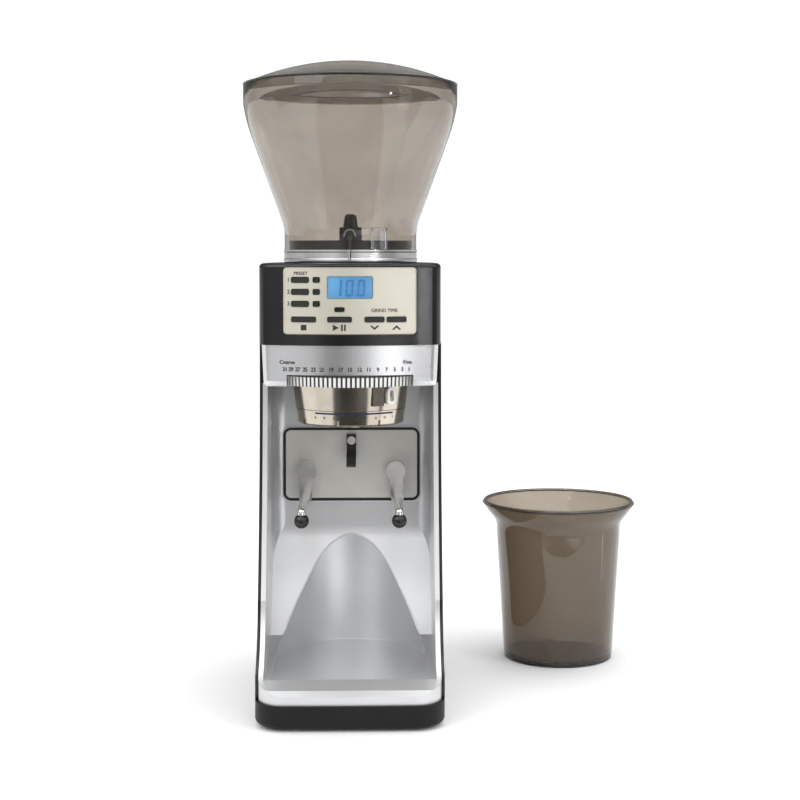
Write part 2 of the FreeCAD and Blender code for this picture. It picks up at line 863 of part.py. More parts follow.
# Straight-sided gear with three points on each flank, thinned by the flank clearance
def gear(teeth, low, high, bore, phase, y):
    pitch = gear_module * teeth / 2
    base = pitch * math.cos(math.radians(20))
    radii = (pitch - 1.25 * gear_module, pitch, pitch + gear_module)
    inv = [math.sqrt(max((r / base) ** 2 - 1, 0)) - math.acos(min(base / r, 1)) for r in radii]
    halves = [math.pi / (2 * teeth) - flank_clearance / (2 * pitch) + inv[1] - k for k in inv]
    points = []
    for tooth in range(teeth):
        centre = math.radians(phase) + 2 * math.pi * tooth / teeth
        for radius, half in list(zip(radii, halves)):
            points.append((radius, centre - half))
        for radius, half in list(zip(radii, halves))[::-1]:
            points.append((radius, centre + half))
    path = [(r * math.cos(a), y + r * math.sin(a)) for r, a in points]
    blank = plan_face(path, low).extrude(vec(0, 0, high - low))
    return blank.cut(cylinder(bore, low - 1, high + 1, 0, y))


def make_gears():
    high = gear_low + gear_width
    drive = gear(drive_teeth, gear_low, high, ring_radius, 90, 0)
    drive = fuse([drive, tube(ring_radius, hub_radius, high, ring_top)])
    step = 360 / idler_small_teeth
    small = gear(idler_small_teeth, gear_low, high, idler_pin + run_gap, -90 + step / 2, idler_y)
    floor = tray_low + tray_floor + seat_gap
    bore = idler_pin + run_gap
    small = fuse([small, tube(bore, idler_hub, high, upper_gear_low, 0, idler_y),
                  tube(bore, idler_hub, floor, gear_low, 0, idler_y)])
    upper_high = upper_gear_low + upper_gear_width
    big = gear(idler_big_teeth, upper_gear_low, upper_high, bore, 90, idler_y)
    step = 360 / pinion_teeth
    pinion = gear(pinion_teeth, upper_gear_low - 1, upper_high + 1, shaft_radius, -90 + step / 2, motor_y)
    pinion = fuse([pinion, tube(shaft_radius, pinion_hub, floor, upper_gear_low - 1, 0, motor_y)])
    shaft = cylinder(shaft_radius, tray_low - shaft_depth, upper_high + shaft_top, 0, motor_y)
    pin = cylinder(idler_pin, tray_low, upper_high + shaft_top, 0, idler_y)
    return drive, small, big, pinion, shaft, pin


# Places along the tray's straight sides, just inside the wall
def gearbox_screw_places():
    (fx, fy), (bx, by) = stadium_side(gearbox_post + seat_gap)
    spots = [(fx + (bx - fx) * k, fy + (by - fy) * k) for k in gearbox_screw_shares]
    return [(side * x, y) for side in (-1, 1) for x, y in spots]


def make_gearbox():
    tray = stadium(0, tray_low, deck_low).cut(stadium(tray_wall, tray_low + tray_floor, deck_low + 1))
    posts = [cylinder(gearbox_post, tray_low, deck_low, x, y) for x, y in gearbox_screw_places()]
    tray = fuse([tray] + posts)
    tray = tray.cut(cylinder(tray_hole, tray_low - 1, tray_low + tray_floor + 1))
    tray = tray.cut(cylinder(idler_pin, tray_low - 1, deck_low, 0, idler_y))
    tray = tray.cut(cylinder(pinion_hub + 1, tray_low - 1, deck_low, 0, motor_y))
    seat = hub_radius + run_gap + bearing_wall
    deck_high = deck_low + deck_thick
    boss_top = deck_low + bearing_lip + bearing_width
    deck = fuse([stadium(0, deck_low, deck_high), cylinder(seat + 2.5, deck_high, boss_top)])
    deck = deck.cut(cylinder(seat, deck_low + bearing_lip, boss_top + 1))
    deck = deck.cut(cylinder(seat - 2, deck_low - 1, boss_top))
    deck = deck.cut(cylinder(idler_hub + 1, deck_low - 1, boss_top + 1, 0, idler_y))
    deck = deck.cut(cylinder(pinion_hub + 1, deck_low - 1, boss_top + 1, 0, motor_y))
    screws = []
    for x, y in gearbox_screw_places():
        hole = cylinder(screw_radius + run_gap, tray_low + 4, deck_high + 1, x, y)
        tray = tray.cut(hole)
        deck = deck.cut(hole)
        screws.append(cylinder(screw_radius, tray_low + 5, deck_high, x, y).fuse(
            cylinder(screw_head, deck_high, deck_high + screw_head_height, x, y)))
    bearing = tube(hub_radius + run_gap, seat, deck_low + bearing_lip, boss_top)
    motor = fuse([cylinder(motor_radius, motor_low, tray_low, 0, motor_y),
                  cylinder(motor_radius / 2, motor_low - motor_cap, motor_low, 0, motor_y)])
    hole = cylinder(shaft_radius + run_gap, tray_low - shaft_depth - 1, tray_low + 1, 0, motor_y)
    motor = motor.cut(hole)
    for side in (-1, 1):
        x = side * motor_screw_x
        deep = tray_low - motor_screw_depth
        hole = cylinder(screw_radius + run_gap, deep - 1, tray_low + tray_floor + 1, x, motor_y)
        tray = tray.cut(hole)
        motor = motor.cut(hole)
        top = tray_low + tray_floor
        screws.append(cylinder(screw_radius, deep, top, x, motor_y).fuse(
            cylinder(screw_head, top, top + screw_head_height, x, motor_y)))
    return tray, deck, bearing, motor, Part.makeCompound(screws)


def star(radius, depth, z, twist):
    points = []
    for k in range(burr_teeth):
        points.append(polar(radius, twist + 360 * k / burr_teeth))
        points.append(polar(radius - depth, twist + 360 * (k + 0.7) / burr_teeth))
    return Part.makePolygon([vec(x, y, z) for x, y in points + points[:1]])


def make_burrs():
    levels = [(cone_low, cone_radius - 0.6, 0), (cone_shoulder, cone_radius, burr_twist / 4),
              (ring_top, cone_top_radius, burr_twist)]
    cone = Part.makeLoft([star(r, tooth_depth, z, t) for z, r, t in levels], True, True)
    cone = cone.cut(cylinder(bolt_radius, cone_low - 1, ring_top + 1))
    widen = burr_gap + tooth_depth
    mouth = [(ring_low - 1, cone_radius + widen), (cone_shoulder, cone_radius + widen),
             (ring_top + 1, cone_top_radius + widen + 3)]
    bore = Part.makeLoft([star(r, tooth_depth, z, burr_twist * k / 2) for k, (z, r) in enumerate(mouth)],
                         True, True)
    ring = cylinder(ring_radius, ring_low, ring_top).cut(bore)
    head = cylinder(bolt_head, ring_top, ring_top + bolt_head_height)
    bolt = head.fuse(cylinder(bolt_radius, carrier_arm_low, ring_top)).removeSplitter()
    return cone, ring, bolt


def make_macro_ring():
    low = scale_bottom + gate_clear
    points = []
    for k in range(macro_ribs):
        for radius, share in ((macro_radius, 0.0), (macro_radius, 0.5), (macro_radius - rib_depth, 0.55),
                              (macro_radius - rib_depth, 0.95)):
            points.append(polar(radius, 360 * (k + share) / macro_ribs))
    top = slot_top - shell_fit
    ribbed = plan_face(points, low).extrude(vec(0, 0, top - low))
    inner, hub = macro_hub()
    skirt = macro_radius - macro_skirt
    web = top - macro_web
    shape = turned([(inner, web), (skirt, web), (skirt, low), (macro_radius - macro_taper, low),
                    (macro_radius, top - macro_edge), (macro_radius, top), (inner, top)])
    return fuse([shape.common(ribbed), tube(inner, hub, web, tray_low - shell_fit)])


# Inner and outer radius of the macro ring's hub, which runs on the carrier
def macro_hub():
    inner = carrier_top_radius + macro_clear
    return inner, inner + macro_wall


def make_carrier():
    bore = carrier_top_radius - carrier_wall
    mouth = chute_radius - chute_wall
    shelf = carrier_low + carrier_floor
    body = turned([(mouth, carrier_low), (carrier_low_radius, carrier_low),
                   (carrier_top_radius - gate_clear, scale_bottom - seat_gap),
                   (carrier_top_radius, scale_bottom), (carrier_top_radius, carrier_top),
                   (bore, carrier_top), (bore, carrier_arm_low), (mouth, shelf)])
    lip = micro_low_radius - micro_wall - shell_fit
    skirt = tube(lip - skirt_wall, lip, micro_low + micro_floor + skirt_wall, carrier_low)
    hub = cylinder(hub_outer, carrier_arm_low, cone_low)
    arms = []
    for k in range(3):
        arm = box((0, bore + carrier_skin), (-arm_width / 2, arm_width / 2),
                  (carrier_arm_low, carrier_arm_low + arm_width))
        arms.append(arm.rotate(vec(0, 0, 0), Z, 90 + 120 * k))
    inside = carrier_low_radius - carrier_skin
    tab = box((-tab_half, tab_half), (-carrier_top_radius - tab_proud, -inside),
              (carrier_low + tab_rise, scale_bottom - 2 * seat_gap))
    tab = tab.rotate(vec(0, 0, 0), Z, tab_angle)
    body = fuse([body, skirt, hub, tab] + arms)
    return body.cut(cylinder(bolt_radius, carrier_arm_low - 1, cone_low + 1))


# A small loop standing on two feet off the carrier's side
def make_carrier_loop(carrier):
    back = -carrier_top_radius
    front = back - loop_thick
    rows = (carrier_low + loop_rise, scale_bottom - loop_thick / 2)
    plate = front_slab((-loop_half, loop_half), rows, loop_corner, front, back)
    hole = loop_half - loop_bar
    corner = loop_corner - loop_bar
    plate = plate.cut(front_slab((-hole, hole), grown(rows, -loop_bar), corner, front - 1, back + 1))
    deep = (back, carrier_skin - carrier_low_radius)
    feet = [box((-loop_foot, loop_foot), deep, (z, z + loop_bar)) for z in (rows[0], rows[1] - loop_bar)]
    return fuse([plate] + feet).rotate(vec(0, 0, 0), Z, loop_angle).cut(carrier)


def make_micro_ring():
    top = carrier_low - seat_gap
    inner = micro_low_radius - micro_wall
    hole = chute_radius + 0.6
    ring = turned([(hole, micro_low), (micro_low_radius - micro_chamfer, micro_low),
                   (micro_low_radius, micro_low + micro_chamfer), (carrier_low_radius, top), (inner, top),
                   (inner, micro_low + micro_floor), (hole, micro_low + micro_floor)])
    deep = (-beyond, notch_depth - micro_low_radius)
    for k in range(micro_notches):
        notch = box((-notch_half, notch_half), deep, (micro_low - 1, micro_low + notch_height))
        ring = ring.cut(notch.rotate(vec(0, 0, 0), Z, notch_angle + 360 * k / micro_notches))
    return ring


def make_chute():
    return tube(chute_radius - chute_wall, chute_radius, chute_low, carrier_low)


def make_holder():
    front = wall_y - plate_proud
    back = wall_y + recess_depth
    plate = front_slab((-plate_half, plate_half), (plate_low, plate_high), holder_corner, front, back)
    outer = plate_half + gasket_width
    gasket = front_slab((-outer, outer), (plate_low - gasket_width, plate_high + gasket_width),
                        holder_corner + gasket_width, wall_y + 0.6, back).cut(plate)
    for side in (-1, 1):
        x, z = side * arm_pivot[0], arm_pivot[1]
        plate = plate.cut(rod_y(pivot_pin + run_gap, front - 1, back + 1, x, z))
    wide = screw_radius + seat_gap
    slot = front_slab((-wide, wide), hook_slot, screw_radius, front - 1, back + 1)
    return plate.cut(slot), gasket


def make_arm(side):
    seat = wall_y - plate_proud - seat_gap
    boss = rod_y(pivot_radius, crank_front, seat, side * arm_pivot[0], arm_pivot[1])
    pin = rod_y(pivot_pin, seat, wall_y + recess_depth, side * arm_pivot[0], arm_pivot[1])
    crank_back = crank_front + crank_thick
    end = rod_radius + knuckle_wall
    knuckle = rod_y(end, crank_front, crank_back, side * arm_rod[0], arm_rod[1])
    run = vec(side * (arm_rod[0] - arm_pivot[0]), 0, arm_rod[1] - arm_pivot[1])
    web = box((-end, end), (crank_front, crank_back), (-run.Length, 0))
    web = web.rotate(vec(0, 0, 0), Y, -math.degrees(math.atan2(run.x, -run.z)))
    web = web.translate(vec(side * arm_pivot[0], 0, arm_pivot[1]))
    rod = rod_y(rod_radius, rod_front, crank_back, side * arm_rod[0], arm_rod[1])
    elbow = Part.makeSphere(rod_radius, vec(side * arm_rod[0], rod_front, arm_rod[1]))
    stalk = cylinder(rod_radius, arm_rod[1] - tip_drop, arm_rod[1], side * arm_rod[0], rod_front)
    arm = fuse([boss, pin, knuckle, web, rod, elbow, stalk])
    ball = Part.makeSphere(tip_radius, vec(side * arm_rod[0], rod_front, arm_rod[1] - tip_drop))
    return arm, ball.cut(arm)


def make_hook():
    back = wall_y - plate_proud - seat_gap
    front = back - hook_pad
    tip = front - hook_reach
    path = [(back, hook_low), (back, hook_high), (front, hook_high), (front, hook_low + hook_root),
            (tip, hook_low + hook_pad), (tip - hook_nose, hook_low - hook_nose / 2),
            (tip, hook_low - hook_nose), (front, hook_low + hook_pad), (front, hook_low)]
    hook = side_slab(path, hook_half)
    hook = hook.cut(rod_y(screw_radius, front - 1, back + 1, 0, hook_screw_z))
    shank = rod_y(screw_radius, front, wall_y + recess_depth, 0, hook_screw_z)
    head = rod_y(hook_screw_head, front - hook_head_height, front, 0, hook_screw_z)
    return hook, shank.fuse(head).removeSplitter()


def make_supply_board():
    front = wall_y + wall_back + supply_gap
    back = front + supply_thick
    board = box((-supply_half, supply_half), (front, back), supply_rows)
    cans = []
    for k in range(2):
        low = supply_rows[0] + supply_edge + k * (can_height + can_space)
        deep = back + can_radius - can_sink
        cans.append(cylinder(can_radius, low, low + can_height, -supply_part_x, deep))
    middle = (supply_rows[0] + supply_rows[1]) / 2
    half = transformer_size / 2
    block = box((supply_part_x - half, supply_part_x + half), (back, back + transformer_depth),
                (middle - half, middle + half))
    return fuse([board, block] + cans)


def make_switch(rear_shell):
    wide = (switch_x - switch_half, switch_x + switch_half)
    high = (switch_z - switch_high, switch_z + switch_high)
    back = foot_rear - switch_depth
    outer = box(grown(wide, switch_frame_wall), (back, foot_rear), grown(high, switch_frame_wall))
    edge = switch_frame_wall + bezel_size
    bezel = box(grown(wide, edge), (foot_rear, foot_rear + bezel_size), grown(high, edge))
    well = box(wide, (back + switch_floor, foot_rear + beyond), high)
    frame = fuse([outer, bezel]).cut(well).cut(rear_shell)
    slim = grown(wide, -rocker_gap)
    tall = switch_high - rocker_gap
    out = foot_rear + rocker_proud
    keel = foot_rear - rocker_keel
    waist = foot_rear - rocker_waist
    path = [(keel, switch_z - rocker_foot), (keel, switch_z + rocker_foot), (waist, switch_z + tall),
            (out, switch_z + tall), (foot_rear + rocker_dip, switch_z), (out, switch_z - tall),
            (waist, switch_z - tall)]
    rocker = face(path, lambda y, z: vec(slim[0], y, z)).extrude(vec(slim[1] - slim[0], 0, 0))
    pins = [axle(grown(wide, rocker_pin_length), rocker_pin),
            axle(grown(wide, rocker_pin_length + run_gap), rocker_pin + run_gap)]
    return frame.cut(pins[1]), fuse([rocker, pins[0]])


# A rod along X through the rocker's turning axis
def axle(span, radius):
    return Part.makeCylinder(radius, span[1] - span[0], vec(span[0], foot_rear - rocker_axis, switch_z), X)


def make_gland(rear_shell):
    wide = gland_radius + gland_lip
    flange = rod_y(wide, foot_rear, foot_rear + gland_flange, gland_x, switch_z)
    body = rod_y(gland_radius, foot_rear - gland_depth, foot_rear, gland_x, switch_z)
    inside = foot_rear - side_wall
    nut = rod_y(wide, inside - gland_nut, inside, gland_x, switch_z)
    bore = rod_y(gland_bore, inside - gland_depth, foot_rear + gland_depth, gland_x, switch_z)
    return fuse([flange, body, nut]).cut(bore).cut(rear_shell)


def make_bin():
    edge = bin_height - bin_rim_edge
    outer = [(0, 0), (bin_low_radius - bin_round, 0),
             (bin_low_radius - 0.3 * bin_round, 0.3 * bin_round, bin_low_radius, bin_round),
             (bin_neck_radius, bin_neck), (bin_rim_radius, edge), (bin_rim_radius, bin_height)]
    rise = 0.2 * bin_wall
    inner = [(bin_rim_radius - bin_wall, bin_height), (bin_rim_radius - bin_wall, edge + rise),
             (bin_neck_radius - bin_wall, bin_neck + rise), (bin_low_radius - bin_wall, bin_floor),
             (0, bin_floor)]
    cup = turned(outer + inner)
    return cup.translate(vec(bin_x, bin_y, 0))


def build():
    nodes = {"base_pan": make_base(), "rubber_feet": make_feet(), "case_screws": make_case_screws()}
    nodes["front_shell"] = make_front_shell()
    nodes["rear_shell"] = make_rear_shell()
    nodes["head_cover"] = make_head_cover()
    nodes["scale_housing"] = make_scale_housing()
    nodes["control_panel"] = make_panel()
    for name, (x, z) in key_places().items():
        nodes[name] = make_key(x, z)
    nodes["indicator_lights"] = make_lights()
    nodes["display_window"], nodes["display_module"] = make_display()
    nodes["control_board"] = make_board()
    nodes["hopper_shell"] = make_hopper()
    nodes["hopper_collar"] = make_collar()
    nodes["hopper_lid"] = make_lid()
    nodes["hopper_gate"] = make_gate()
    nodes["shutter_disc"], nodes["shutter_knob"], nodes["shutter_screw"] = make_shutter()
    nodes["hopper_ring"] = make_hopper_ring()
    nodes["throat"] = make_throat()
    gears = make_gears()
    for name, shape in zip(("drive_gear", "idler_pinion", "idler_gear", "motor_pinion", "motor_shaft",
                            "idler_shaft"), gears):
        nodes[name] = shape
    for name, shape in zip(("gearbox_tray", "gearbox_deck", "ring_bearing", "motor", "gearbox_screws"),
                           make_gearbox()):
        nodes[name] = shape
    nodes["cone_burr"], nodes["ring_burr"], nodes["cone_bolt"] = make_burrs()
    nodes["macro_ring"] = make_macro_ring()
    nodes["burr_carrier"] = make_carrier()
    nodes["carrier_loop"] = make_carrier_loop(nodes["burr_carrier"])
    nodes["micro_ring"] = make_micro_ring()
    nodes["grounds_chute"] = make_chute()
    nodes["holder_plate"], nodes["holder_gasket"] = make_holder()
    for name, side in (("left", -1), ("right", 1)):
        nodes[name + "_arm"], nodes[name + "_arm_tip"] = make_arm(side)
    nodes["holder_hook"], nodes["hook_screw"] = make_hook()
    nodes["supply_board"] = make_supply_board()
    nodes["switch_frame"], nodes["power_switch"] = make_switch(nodes["rear_shell"])
    nodes["cord_gland"] = make_gland(nodes["rear_shell"])
    nodes["grounds_bin"] = make_bin()
    return nodes


os.makedirs("parts", exist_ok=True)
for node, shape in build().items():
    shape.exportStep(f"parts/{node}.step")
    print(node, len(shape.Solids), shape.isValid(), round(shape.Volume / 1000, 2), "cm3")
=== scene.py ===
import bpy
import json
import math
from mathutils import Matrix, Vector


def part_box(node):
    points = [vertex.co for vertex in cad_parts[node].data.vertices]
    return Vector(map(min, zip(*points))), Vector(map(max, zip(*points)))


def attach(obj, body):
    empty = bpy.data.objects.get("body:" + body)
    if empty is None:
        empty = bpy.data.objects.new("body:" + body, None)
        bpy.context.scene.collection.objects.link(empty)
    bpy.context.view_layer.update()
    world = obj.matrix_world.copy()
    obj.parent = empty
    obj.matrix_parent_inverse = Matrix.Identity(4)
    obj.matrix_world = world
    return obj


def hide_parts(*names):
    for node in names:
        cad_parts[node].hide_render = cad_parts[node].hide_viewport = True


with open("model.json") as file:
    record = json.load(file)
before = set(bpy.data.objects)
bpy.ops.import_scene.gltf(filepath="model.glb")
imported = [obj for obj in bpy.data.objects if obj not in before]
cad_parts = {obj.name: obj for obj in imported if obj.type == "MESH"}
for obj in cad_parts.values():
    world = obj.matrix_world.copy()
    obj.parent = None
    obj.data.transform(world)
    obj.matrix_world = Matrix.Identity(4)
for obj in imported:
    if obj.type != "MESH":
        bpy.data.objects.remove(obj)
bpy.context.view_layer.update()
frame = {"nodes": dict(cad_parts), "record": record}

nodes = frame["nodes"]
mm = 0.001
print("frame loaded:", len(nodes), "nodes")


# selection and edit mode helpers

def dropSelection():
    if bpy.context.object and bpy.context.object.mode != "OBJECT":
        bpy.ops.object.mode_set(mode="OBJECT")
    bpy.ops.object.select_all(action="DESELECT")


def pick(piece):
    dropSelection()
    piece.select_set(True)
    bpy.context.view_layer.objects.active = piece


def editAll(piece):
    pick(piece)
    bpy.ops.object.mode_set(mode="EDIT")
    bpy.ops.mesh.select_all(action="SELECT")


def leaveEdit():
    bpy.ops.object.mode_set(mode="OBJECT")


def smoothPiece(piece, degrees):
    pick(piece)
    bpy.ops.object.shade_smooth_by_angle(angle=math.radians(degrees))


def seat(piece, body, finish, replaced=()):
    piece.data.materials.clear()
    piece.data.materials.append(finish)
    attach(piece, body)
    if replaced:
        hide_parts(*replaced)


# material helpers

noiseRoughness = 0.55
grainDepth, ringDepth = 0.0002, 0.0001
ringScale = (6, 6, 2600)
smokeTint = (0.12, 0.08, 0.0, 1)
plasticIndex = 1.45


def newFinish(name):
    finish = bpy.data.materials.new(name)
    finish.use_nodes = True
    tree = finish.node_tree
    shader = tree.nodes["Principled BSDF"]
    place = tree.nodes.new("ShaderNodeTexCoord")
    return finish, tree, shader, place.outputs["Object"]


def addNoise(tree, place, scale, detail=3.0):
    noise = tree.nodes.new("ShaderNodeTexNoise")
    noise.inputs["Scale"].default_value = scale
    noise.inputs["Detail"].default_value = detail
    noise.inputs["Roughness"].default_value = noiseRoughness
    tree.links.new(place, noise.inputs["Vector"])
    return noise.outputs["Fac"]


def addRamp(tree, source, stops):
    ramp = tree.nodes.new("ShaderNodeValToRGB")
    for k, (spot, colour) in enumerate(stops):
        stop = ramp.color_ramp.elements[k] if k < 2 else ramp.color_ramp.elements.new(spot)
        stop.position = spot
        stop.color = (*colour, 1)
    tree.links.new(source, ramp.inputs["Fac"])
    return ramp.outputs["Color"]


def addRange(tree, source, low, high):
    reach = tree.nodes.new("ShaderNodeMapRange")
    reach.inputs["To Min"].default_value = low
    reach.inputs["To Max"].default_value = high
    tree.links.new(source, reach.inputs["Value"])
    return reach.outputs["Result"]


def addBump(tree, shader, source, strength, depth):
    bump = tree.nodes.new("ShaderNodeBump")
    bump.inputs["Strength"].default_value = strength
    bump.inputs["Distance"].default_value = depth
    tree.links.new(source, bump.inputs["Height"])
    tree.links.new(bump.outputs["Normal"], shader.inputs["Normal"])


def grey(value):
    return (value, value, value)


def tint(colour, share):
    return tuple(c * share for c in colour)


# One finish recipe: a base colour that drifts, a roughness that drifts and a fine surface texture
def makeFinish(name, colour, drift, metal, rough, patch, grain, bump, specular=0.5):
    finish, tree, shader, place = newFinish(name)
    shader.inputs["Metallic"].default_value = metal
    shader.inputs["Specular IOR Level"].default_value = specular
    cloud = addNoise(tree, place, patch, 4.0)
    speck = addNoise(tree, place, grain, 2.0)
    stops = [(0.3, tint(colour, 1 - drift)), (0.7, tint(colour, 1 + drift))]
    tree.links.new(addRamp(tree, cloud, stops), shader.inputs["Base Color"])
    tree.links.new(addRange(tree, cloud, *rough), shader.inputs["Roughness"])
    addBump(tree, shader, speck, bump, grainDepth)
    return finish


# Turned metal: fine rings stacked along Z break up the highlight
def makeTurned(name, colour, rough, bump):
    finish, tree, shader, place = newFinish(name)
    shader.inputs["Metallic"].default_value = 1.0
    stretch = tree.nodes.new("ShaderNodeMapping")
    stretch.inputs["Scale"].default_value = ringScale
    tree.links.new(place, stretch.inputs["Vector"])
    lines = addNoise(tree, stretch.outputs["Vector"], 1.0, 2.0)
    cloud = addNoise(tree, place, 70, 3.0)
    stops = [(0.3, tint(colour, 0.88)), (0.7, tint(colour, 1.08))]
    tree.links.new(addRamp(tree, cloud, stops), shader.inputs["Base Color"])
    tree.links.new(addRange(tree, lines, *rough), shader.inputs["Roughness"])
    addBump(tree, shader, lines, bump, ringDepth)
    return finish


# Pale ribs with painted shade in their roots: the colour darkens with the distance from the axis towards
# the roots, and a painted shadow closes in near the top
def makeRibbed(name, colour, root, crest, top, fade=0.2):
    finish, tree, shader, place = newFinish(name)
    flat = tree.nodes.new("ShaderNodeMapping")
    flat.inputs["Scale"].default_value = (1, 1, 0)
    tree.links.new(place, flat.inputs["Vector"])
    reach = tree.nodes.new("ShaderNodeVectorMath")
    reach.operation = "LENGTH"
    tree.links.new(flat.outputs["Vector"], reach.inputs[0])
    rib = addRange(tree, reach.outputs["Value"], 0.05, 1)
    rib.node.inputs["From Min"].default_value = root * mm
    rib.node.inputs["From Max"].default_value = crest * mm
    split = tree.nodes.new("ShaderNodeSeparateXYZ")
    tree.links.new(place, split.inputs["Vector"])
    topShadow = addRange(tree, split.outputs["Z"], 1, 0.04)
    topShadow.node.inputs["From Min"].default_value = (top - fade) * mm
    topShadow.node.inputs["From Max"].default_value = (top + fade) * mm
    paintedShade = tree.nodes.new("ShaderNodeMath")
    paintedShade.operation = "MINIMUM"
    tree.links.new(rib, paintedShade.inputs[0])
    tree.links.new(topShadow, paintedShade.inputs[1])
    # painted shade: near black in the rib roots and above the top, the ring's colour on the crests
    shade = addRamp(tree, paintedShade.outputs["Value"], [(0.0, grey(0.01)), (1.0, colour)])
    tree.links.new(shade, shader.inputs["Base Color"])
    tree.links.new(addRange(tree, addNoise(tree, place, 120), 0.34, 0.46), shader.inputs["Roughness"])
    addBump(tree, shader, addNoise(tree, place, 2400, 2.0), 0.06, grainDepth)
    return finish


# Smoked moulding with faint flow marks: clear is the share of light let through, smoke is how much of it
# each metre of wall takes away, so that long paths at the edges look darker
def makeSmoked(name, colour, flow=0.05, clear=1.0, smoke=0):
    finish, tree, shader, place = newFinish(name)
    if smoke:
        depth = tree.nodes.new("ShaderNodeVolumeAbsorption")
        depth.inputs["Color"].default_value = smokeTint
        depth.inputs["Density"].default_value = smoke
        tree.links.new(depth.outputs["Volume"], tree.nodes["Material Output"].inputs["Volume"])
    shader.inputs["Transmission Weight"].default_value = clear
    shader.inputs["IOR"].default_value = plasticIndex
    cloud = addNoise(tree, place, 35, 2.0)
    stops = [(0.3, tint(colour, 1 - flow)), (0.7, tint(colour, 1 + flow))]
    tree.links.new(addRamp(tree, cloud, stops), shader.inputs["Base Color"])
    tree.links.new(addRange(tree, cloud, 0.0, 0.03), shader.inputs["Roughness"])
    addBump(tree, shader, addNoise(tree, place, 60, 1.0), 0.02, grainDepth)
    return finish


def makeGlow(name, colour, strength):
    finish, tree, shader, place = newFinish(name)
    cloud = addNoise(tree, place, 90, 2.0)
    stops = [(0.2, tint(colour, 0.85)), (0.8, tint(colour, 1.1))]
    shade = addRamp(tree, cloud, stops)
    tree.links.new(shade, shader.inputs["Base Color"])
    tree.links.new(shade, shader.inputs["Emission Color"])
    tree.links.new(addRange(tree, cloud, 0.2, 0.3), shader.inputs["Roughness"])
    shader.inputs["Emission Strength"].default_value = strength
    addBump(tree, shader, addNoise(tree, place, 2500, 1.0), 0.02, ringDepth)
    return finish


finishes = {
    "black_shell": makeFinish("blackGrain", grey(0.008), 0.2, 0.0, (0.13, 0.18), 50, 2200, 0.1,
                              specular=0.45),
    "silver_paint": makeFinish("silverPaint", (0.66, 0.665, 0.675), 0.03, 0.7, (0.3, 0.36), 40, 5200, 0.04),
    "champagne_panel": makeFinish("champagnePanel", (0.61, 0.585, 0.50), 0.04, 0.5, (0.3, 0.38), 40, 5200,
                                  0.05),
    "key_black": makeFinish("keyBlack", grey(0.012), 0.2, 0.0, (0.4, 0.5), 200, 3000, 0.12),
    "green_lens": makeFinish("lightLens", (0.005, 0.012, 0.006), 0.3, 0.0, (0.15, 0.22), 200, 3000, 0.03),
    "circuit_board": makeFinish("circuitBoard", (0.02, 0.12, 0.05), 0.2, 0.0, (0.35, 0.5), 300, 2500, 0.1),
    "satin_ring": makeTurned("satinRing", (0.66, 0.66, 0.65), (0.24, 0.32), 0.02),
    "dark_nylon": makeFinish("darkNylon", grey(0.014), 0.2, 0.0, (0.32, 0.46), 90, 2600, 0.12),
    "soft_rubber": makeFinish("softRubber", grey(0.01), 0.25, 0.0, (0.3, 0.5), 120, 1800, 0.15),
    "cast_case": makeFinish("castCase", (0.42, 0.43, 0.44), 0.12, 0.9, (0.4, 0.55), 120, 1200, 0.25),
    "motor_can": makeFinish("motorCan", (0.4, 0.4, 0.41), 0.1, 0.9, (0.3, 0.4), 80, 1500, 0.08),
    "gear_nylon": makeFinish("gearNylon", (0.72, 0.69, 0.58), 0.06, 0.0, (0.4, 0.5), 120, 1500, 0.08),
    "gear_steel": makeFinish("gearSteel", (0.5, 0.5, 0.51), 0.1, 1.0, (0.28, 0.4), 150, 1800, 0.1),
    "burr_steel": makeFinish("burrSteel", (0.46, 0.46, 0.47), 0.12, 1.0, (0.25, 0.4), 150, 1500, 0.12),
    "bright_steel": makeTurned("brightSteel", (0.74, 0.73, 0.71), (0.1, 0.18), 0.03),
    "warm_steel": makeTurned("warmSteel", (0.56, 0.51, 0.43), (0.1, 0.18), 0.03),
    # the ribbed ring gets painted shade in its rib roots and a painted shadow above 195.4 mm
    "ivory_ring": makeRibbed("ribbedRing", (0.7, 0.7, 0.68), 44.7, 45.3, 195.4),
    "smoked_clear": makeSmoked("smokedHopper", (0.71, 0.67, 0.63), smoke=95),
    "display_glass": makeSmoked("displayGlass", (0.9, 0.95, 1.0), 0.01),
    "blue_display": makeGlow("blueDisplay", (0.09, 0.33, 0.56), 0.45),
}
binSmoked = makeSmoked("smokedBin", (0.62, 0.545, 0.465), clear=0.95, smoke=330)
lidSmoked = makeSmoked("smokedLid", (0.56, 0.52, 0.49), smoke=210)
tabClear = makeSmoked("clearTab", (0.86, 0.88, 0.92))
# near-black finish for lines of painted shade at the lid seam, the collar seam gap and the bin's rim and
# foot
paintedShadeLine = makeFinish("paintedShadeLine", (0.006, 0.008, 0.012), 0.2, 0.0, (0.12, 0.2), 80, 3000, 0.03)
tipGloss = makeFinish("tipRubber", grey(0.006), 0.2, 0.0, (0.08, 0.14), 120, 1800, 0.05)
oddFinishes = {
    "left_arm_tip": tipGloss,
    "right_arm_tip": tipGloss,
    "base_pan": makeFinish("baseBlack", grey(0.005), 0.2, 0.0, (0.4, 0.5), 50, 2200, 0.14, specular=0.25),
    "holder_plate": makeFinish("plateSatin", (0.66, 0.65, 0.61), 0.04, 0.45, (0.34, 0.42), 60, 4200, 0.04),
    "scale_housing": makeFinish("scaleSilver", (0.66, 0.665, 0.675), 0.03, 0.85, (0.2, 0.26), 40, 5200,
                                0.03),
    "hopper_ring": makeFinish("seatRing", grey(0.012), 0.2, 0.0, (0.35, 0.45), 90, 2600, 0.1),
    "carrier_loop": makeFinish("loopSteel", (0.8, 0.79, 0.77), 0.05, 0.4, (0.2, 0.3), 120, 2600, 0.05),
}
